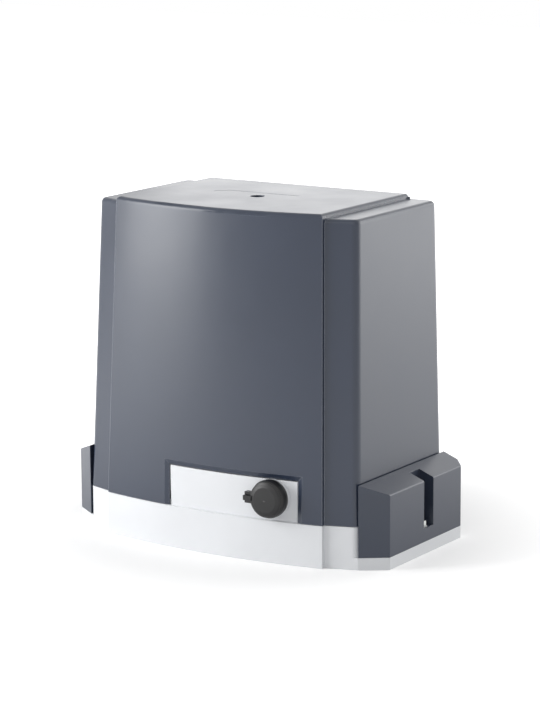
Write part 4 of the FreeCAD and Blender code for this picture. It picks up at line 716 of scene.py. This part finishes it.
@dataclass
class LevellingStuds:
    """Two screwed studs with a real metric thread, in place of the plain ones."""

    pitch: float = 0.001
    thread_deep: float = 0.00055
    point: float = 0.0008
    rows_to_pitch: int = 8
    sides: int = 28

    def build(self) -> None:
        """Make both studs.

        Radius at angle a and height h = outer - depth * |2 * frac(h / pitch - a / turn) - 1|,
        drawn in to the point at the top.
        """
        low, high = (np.asarray(corner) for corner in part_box("cap_studs"))
        radius = (high[1] - low[1]) / 2
        rows = int((high[2] - low[2]) / self.pitch * self.rows_to_pitch)
        height = np.linspace(low[2], high[2], rows)[:, None]
        angle = np.linspace(0.0, 2 * np.pi, self.sides + 1)[None]
        wave = np.abs(2 * np.mod(height / self.pitch - angle / (2 * np.pi), 1.0) - 1)
        spread = radius - self.thread_deep * wave
        spread = np.minimum(spread, radius - self.point + (high[2] - height))
        grids = []
        for centre in (low[0] + radius, high[0] - radius):
            wall = np.stack([centre + spread * np.cos(angle), spread * np.sin(angle) + 0 * height,
                             height + 0 * angle], axis=-1)
            foot, tip = (np.repeat(row.mean(axis=0)[None], self.sides + 1, axis=0)
                         for row in (wall[0], wall[-1]))
            grids.append(np.concatenate([foot[None], wall, tip[None]]))
        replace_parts(make_piece("levelling_studs", grids, ZINC, "drive_unit"), "cap_studs")


@dataclass
class SpringFinger:
    """Limit switch finger: a moulded hub, a coil spring and the rod that the gate's stops push."""

    wire: float = 0.0007
    coil_radius: float = 0.0033
    coil_share: float = 0.42
    rod_radius: float = 0.0018
    rod_root: float = 0.86
    turns: int = 11
    steps_to_turn: int = 16

    def build(self) -> None:
        """Make hub, spring and rod, which stand for the plain arm.

        The spring's line is a helix: x and z go round a circle while y runs along the rod.
        """
        low, high = (np.asarray(corner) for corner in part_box("limit_arm"))
        hub = (high[0] - low[0]) / 2
        x, y, tall = (low[0] + high[0]) / 2, low[1] + hub, high[2] - low[2]
        z = low[2] + tall / 2
        ring = np.array([[0.4, 0.0], [1.0, 0.0], [1.0, 0.78], [0.97, 0.84], [0.78, 0.97],
                         [0.7, 1.0], [0.4, 1.0], [0.4, 0.0]]) * np.array([hub, tall])
        start, end = y + hub * self.rod_root, high[1]
        run = np.linspace(0.0, 1.0, self.turns * self.steps_to_turn)
        turn = 2 * np.pi * self.turns * run
        coil = np.stack([x + self.coil_radius * np.cos(turn),
                         start + (end - start) * self.coil_share * run,
                         z + self.coil_radius * np.sin(turn)], axis=1)
        rod = np.array([[0.0, 0.0], [1.0, 0.0], [1.0, 0.985], [0.7, 0.997], [0.0, 1.0]])
        rod = rod * np.array([self.rod_radius, end - start])
        for name, grid, finish in (
                ("limit_finger_hub", lathe(ring, (x, y, low[2])), INNER_BLACK),
                ("limit_finger_spring", tube(coil, self.wire, (0.0, 1.0, 0.0), 8), STEEL),
                ("limit_finger_rod", lathe(rod, (x, start, z), "Y", 20), STEEL)):
            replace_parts(make_piece(name, [grid], finish, "limit_arm"), "limit_arm")


@dataclass
class ReturnSpring:
    """Clutch return spring, which shortens as the sleeve slides back."""

    wire: float = 0.0012
    close_pitch: float = 2.05
    turns: float = 6.0
    steps_to_turn: int = 28
    travel: float = 0.0064

    def build(self) -> None:
        """Make the spring at its rest length.

        The helix has close end turns: its place along Y is a line of three slopes over its turns.
        """
        low, high = (np.asarray(corner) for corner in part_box("clutch_spring"))
        centre, radius = (low + high) / 2, (high[0] - low[0]) / 2 - self.wire
        turn = np.linspace(0.0, self.turns, int(self.turns * self.steps_to_turn))
        span, close = high[1] - low[1] - 2 * self.wire, self.close_pitch * self.wire
        along = np.interp(turn, [0.0, 1.0, self.turns - 1.0, self.turns],
                          [0.0, close, span - close, span])
        angle = 2 * np.pi * turn
        line = np.stack([centre[0] + radius * np.cos(angle), low[1] + self.wire + along,
                         centre[2] + radius * np.sin(angle)], axis=1)
        coil = tube(line, self.wire, (0.0, 1.0, 0.0), 12)
        piece = make_piece("return_spring", [coil], STEEL, "output")
        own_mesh(piece)
        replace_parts(piece, "clutch_spring")


@dataclass
class StatorWindings:
    """Two basket windings: loops that leave one slot and dive into another, laced at the crown."""

    loop_points: int = 26
    lace_points: int = 161
    slots: int = 16
    reach: int = 5
    wire_bundle: float = 0.0024
    inner: float = 0.036
    outer: float = 0.0445
    crown: float = 0.0125
    lace: float = 0.0009
    lace_inset: float = 0.003
    lace_wave: float = 0.001
    lace_rise: float = 0.4
    flatness: float = 0.45

    def build(self) -> None:
        """Make both coil ends, which stand for the plain rings.

        Along each loop the angle runs evenly from slot to slot, the height rises and falls as a
        flattened half sine, and the radius swings from the inner to the outer layer.
        """
        core_low, core_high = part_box("stator_core")
        x, y = middle("stator_windings")[:2]
        run = np.linspace(0.0, 1.0, self.loop_points)
        step = 2 * np.pi / self.slots
        loops, laces = [], []
        for face, way in ((core_high[2], 1.0), (core_low[2], -1.0)):
            rise = face + way * self.crown * np.sin(np.pi * run) ** self.flatness
            radius = self.inner + (self.outer - self.inner) * (0.5 - 0.5 * np.cos(np.pi * run))
            for slot in range(self.slots):
                angle = step * (slot + self.reach * run)
                line = np.stack([x + radius * np.cos(angle), y + radius * np.sin(angle), rise],
                                axis=1)
                loops.append(tube(line, self.wire_bundle, (0.0, 0.0, 1.0), 9))
            around = np.linspace(0.0, 2 * np.pi, self.lace_points)
            wobble = self.outer - self.lace_inset + self.lace_wave * np.cos(around * self.slots)
            crown = face + way * (self.crown + self.wire_bundle * self.lace_rise)
            ring = np.stack([x + wobble * np.cos(around), y + wobble * np.sin(around),
                             np.full_like(around, crown)], axis=1)
            laces.append(tube(ring, self.lace, (0.0, 0.0, 1.0), 6))
        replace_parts(make_piece("basket_windings", loops, COPPER, "drive_unit"), "stator_windings")
        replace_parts(make_piece("winding_lacing", laces, TAPE, "drive_unit"), "stator_windings")


@dataclass
class BoardParts:
    """Small parts on the control board's face, which looks towards -Y.

    Each entry of can_sizes is a capacitor's x and z from the board's corner, radius and height.
    """

    can_sizes: tuple[tuple[float, float, float, float], ...] = (
        (0.060, 0.104, 0.0050, 0.012), (0.073, 0.104, 0.0050, 0.012), (0.084, 0.102, 0.0032, 0.009),
        (0.018, 0.132, 0.0065, 0.016), (0.034, 0.132, 0.0065, 0.016), (0.066, 0.132, 0.0032, 0.009))
    resistor_rows: int = 6
    resistor_pitch: float = 0.0052
    resistor_start: Vector3 = (0.075, -0.0018, 0.045)
    resistor_size: tuple[float, float] = (0.0011, 0.0032)
    resistor_swell: float = 0.18
    resistor_points: int = 21
    wire_reach: tuple[float, ...] = (-0.0062, -0.0055, 0.0055, 0.0062)
    wire_radius: float = 0.0003
    screw_pitch: float = 0.0053
    screw_start: float = 0.75
    screw_gap: tuple[float, float] = (0.036, 0.042)
    screw_height: float = 0.0062
    fuse_radius: float = 0.0024
    fuse_depth: float = 0.0031
    fuse_margin: float = 0.0025

    def build(self) -> None:
        """Make the capacitors, resistors, terminal screws and the glass fuse."""
        corner = np.asarray(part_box("control_board")[0])
        self.make_cans(corner)
        self.make_resistors(corner)
        self.make_terminal_screws()
        self.make_fuse()

    def make_cans(self, low: np.ndarray) -> None:
        """Electrolytic capacitors: a can with a waist near its foot and a rolled rim.

        Args:
            low: Lowest corner of the board, whose Y is the board's face.
        """
        shape = np.array([[0.0, 0.0], [1.0, 0.0], [1.0, 0.08], [0.9, 0.13], [1.0, 0.18],
                          [1.0, 0.95], [0.94, 1.0], [0.8, 1.0], [0.78, 0.975], [0.0, 0.975]])
        cans = [lathe(shape * np.array([radius, -tall]), low + np.array([x, 0.0, z]), "Y", 24)
                for x, z, radius, tall in self.can_sizes]
        make_piece("board_capacitors", cans, CAN_SLEEVE, "drive_unit")

    def make_resistors(self, low: np.ndarray) -> None:
        """Resistors with swollen ends, and their wires bent down to the board.

        Radius at run t from -1 to 1 = size * sqrt(1 - t^8) * (1 + swell * cos(turn * t)).

        Args:
            low: Lowest corner of the board, whose Y is the board's face.
        """
        run = np.linspace(-1.0, 1.0, self.resistor_points)
        radius, half = self.resistor_size
        rounded = radius * np.sqrt(np.clip(1 - run ** 8, 0, 1))
        swell = rounded * (1 + self.resistor_swell * np.cos(2 * np.pi * run))
        shape = np.stack([swell, run * half], axis=1)
        bodies, wires = [], []
        for row in range(self.resistor_rows):
            place = np.add(self.resistor_start, (0.0, 0.0, self.resistor_pitch * row))
            bodies.append(lathe(shape, low + place, "X", 14))
            drop = -self.resistor_start[1] * np.array([1.0, 0.0, 0.0, 1.0])
            line = low + place + np.stack([self.wire_reach, drop, np.zeros(4)], axis=1)
            wires.append(tube(line, self.wire_radius, (0.0, 0.0, 1.0), 6))
        make_piece("board_resistors", bodies, RESISTOR, "drive_unit")
        make_piece("board_resistor_wires", wires, ZINC, "drive_unit")

    def make_terminal_screws(self) -> None:
        """A dished screw over each way of the terminal blocks."""
        low, high = (np.asarray(corner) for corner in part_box("terminal_blocks"))
        count = int((high[0] - low[0]) / self.screw_pitch)
        places = low[0] + self.screw_pitch * (np.arange(count) + self.screw_start)
        shape = np.array([[0.0, 0.0], [1.8, 0.0], [1.8, -0.5], [1.5, -0.7], [0.9, -0.7],
                          [0.7, -0.3], [0.0, -0.3]]) * MILLIMETRE
        near, far = self.screw_gap
        gap = (places > low[0] + near) & (places < low[0] + far)
        height = low[2] + self.screw_height
        screws = [lathe(shape, (x, low[1], height), "Y", 16) for x in places[~gap]]
        make_piece("terminal_screws", screws, ZINC, "drive_unit")

    def make_fuse(self) -> None:
        """Glass fuse between its clips, with metal caps."""
        low, high = (np.asarray(corner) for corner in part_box("fuse_holder"))
        foot = ((low[0] + high[0]) / 2, low[1] + self.fuse_depth, low[2] + self.fuse_margin)
        size = np.array([self.fuse_radius, high[2] - low[2] - 2 * self.fuse_margin])
        glass = np.array([[0.0, 0.22], [1.0, 0.22], [1.0, 0.78], [0.0, 0.78]])
        lower = np.array([[0.0, 0.0], [0.92, 0.0], [1.08, 0.02], [1.08, 0.23], [0.0, 0.23]])
        upper = np.array([[0.0, 1.0], [0.92, 1.0], [1.08, 0.98], [1.08, 0.77], [0.0, 0.77]])
        make_piece("fuse_glass", [lathe(glass * size, foot, "Z", 20)], FUSE_GLASS, "drive_unit")
        caps = [lathe(shape * size, foot, "Z", 20) for shape in (lower, upper)]
        make_piece("fuse_caps", caps, NICKEL, "drive_unit")


# ---------------------------------------------------------------- studio


@dataclass(frozen=True)
class SoftBox:
    """A rectangular lamp that faces the object; angles in degrees, sizes in metres, power in W."""

    name: str
    azimuth: float
    elevation: float
    distance: float
    wide: float
    tall: float
    power: float

    def build(self, target: np.ndarray) -> None:
        """Hang the lamp on a sphere round the target and turn it to face it.

        Args:
            target: Point that the lamp looks at.
        """
        data = bpy.data.lights.new(self.name, "AREA")
        data.shape = "RECTANGLE"
        data.size, data.size_y, data.energy = self.wide, self.tall, self.power
        lamp = bpy.data.objects.new(self.name, data)
        bpy.context.scene.collection.objects.link(lamp)
        lamp.visible_camera = False
        turn, rise = math.radians(self.azimuth), math.radians(self.elevation)
        lamp.location = target + self.distance * outward(turn, rise)
        lamp.rotation_euler = (math.pi / 2 - rise, 0.0, turn)


def outward(azimuth: float, elevation: float) -> np.ndarray:
    """Unit vector from the object towards a viewer; azimuth 0 is in front, positive to the right.

    Args:
        azimuth: Angle round the object, in radians.
        elevation: Angle above the floor, in radians.

    Returns:
        The direction as three numbers.
    """
    return np.array([math.sin(azimuth) * math.cos(elevation),
                     -math.cos(azimuth) * math.cos(elevation), math.sin(elevation)])


@dataclass
class Studio:
    """Floor, surroundings, lamps and camera."""

    azimuth: float = math.radians(33.02)
    elevation: float = math.radians(11.63)
    roll: float = math.radians(-0.35)
    distance: float = 2.9945
    aim: Vector3 = (-0.0028, 0.0039, 0.18715)
    lens: float = 136.8
    sensor: float = 36.0
    far_clip: float = 50.0
    floor_half: float = 6.0
    floor_colour: Colour = (0.8, 0.8, 0.8)
    floor_roughness: float = 0.9
    shadow_reach: tuple[float, float] = (0.2, 0.6)
    shadow_glow: float = 0.3
    fill: float = 0.4
    lamps: tuple[SoftBox, ...] = (
        SoftBox("left_box", -47.0, 17.0, 1.7, 0.8, 1.2, 23.5),
        SoftBox("rear_box", 178.0, 13.0, 2.6, 4.2, 1.5, 20.0),
        SoftBox("right_box", 138.0, 16.0, 1.5, 1.5, 1.2, 8.5),
        SoftBox("front_box", 25.0, 40.0, 2.4, 1.6, 1.2, 5.0),
    )

    def build(self) -> None:
        """Make the whole studio."""
        self.make_camera()
        self.make_floor()
        self.make_world()
        for lamp in self.lamps:
            lamp.build(np.array(self.aim))

    def make_camera(self) -> None:
        """Place the camera at the chosen angle, looking at the middle of the object."""
        data = bpy.data.cameras.new("camera")
        data.lens, data.sensor_width, data.clip_end = self.lens, self.sensor, self.far_clip
        camera = bpy.data.objects.new("camera", data)
        bpy.context.scene.collection.objects.link(camera)
        camera.location = np.array(self.aim) + self.distance * outward(self.azimuth, self.elevation)
        upright = Euler((math.pi / 2 - self.elevation, 0.0, self.azimuth)).to_matrix()
        camera.rotation_euler = (upright @ Matrix.Rotation(self.roll, 3, "Z")).to_euler()
        bpy.context.scene.camera = camera

    def make_floor(self) -> None:
        """A wide floor that the camera sees as white and that keeps the object's shadow."""
        half, low = self.floor_half, CAD_BOX[0][2]
        mesh = bpy.data.meshes.new("floor")
        corners = [(-half, -half, low), (half, -half, low), (half, half, low), (-half, half, low)]
        mesh.from_pydata(corners, [], [(0, 1, 2, 3)])
        floor = bpy.data.objects.new("floor", mesh)
        bpy.context.scene.collection.objects.link(floor)
        material = bpy.data.materials.new("studio_floor")
        material.use_nodes = True
        graph = Graph(material.node_tree)
        shader = material.node_tree.nodes["Principled BSDF"]
        shader.inputs["Base Color"].default_value = (*self.floor_colour, 1.0)
        shader.inputs["Roughness"].default_value = self.floor_roughness
        shader.inputs["Specular IOR Level"].default_value = 0.1
        shader.inputs["Emission Color"].default_value = (1.0, 1.0, 1.0, 1.0)
        place = graph.add("TexCoord")
        away = graph.add("VectorMath", operation="LENGTH")
        graph.feed(away.inputs[0], place.outputs["Object"])
        glow = graph.ramp(away.outputs["Value"], *self.shadow_reach, self.shadow_glow, 1.0)
        seen = graph.math("MULTIPLY", glow, seen_ray(graph))
        graph.feed(shader.inputs["Emission Strength"], seen)
        mesh.materials.append(material)

    def make_world(self) -> None:
        """Even pale surroundings; seen directly or mirrored they are plain white."""
        world = bpy.data.worlds.new("studio_world")
        bpy.context.scene.world = world
        world.use_nodes = True
        graph = Graph(world.node_tree)
        background = world.node_tree.nodes["Background"]
        background.inputs["Color"].default_value = (1.0, 1.0, 1.0, 1.0)
        strength = graph.ramp(seen_ray(graph), 0.0, 1.0, self.fill, 1.0)
        graph.feed(background.inputs["Strength"], strength)


def seen_ray(graph: Graph) -> bpy.types.NodeSocket:
    """1 for rays from the camera, from a mirror-like surface or through glass, else 0.

    Args:
        graph: Writer of the tree that asks.

    Returns:
        The value socket.
    """
    path = graph.add("LightPath")
    mirrored = graph.math("MAXIMUM", path.outputs["Is Glossy Ray"],
                          path.outputs["Is Transmission Ray"])
    return graph.math("MAXIMUM", path.outputs["Is Camera Ray"], mirrored)


def main() -> None:
    """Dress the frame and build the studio."""
    logging.basicConfig(level=logging.INFO, format="%(name)s: %(message)s")
    bpy.context.scene.view_settings.view_transform = "Standard"
    Studio().build()
    dress_nodes()
    for part in (CoverBand(), LevellingStuds(), SpringFinger(), ReturnSpring(),
                 StatorWindings(), BoardParts()):
        LOG.info("building %s", type(part).__name__)
        part.build()


if __name__ == "__main__":
    main()
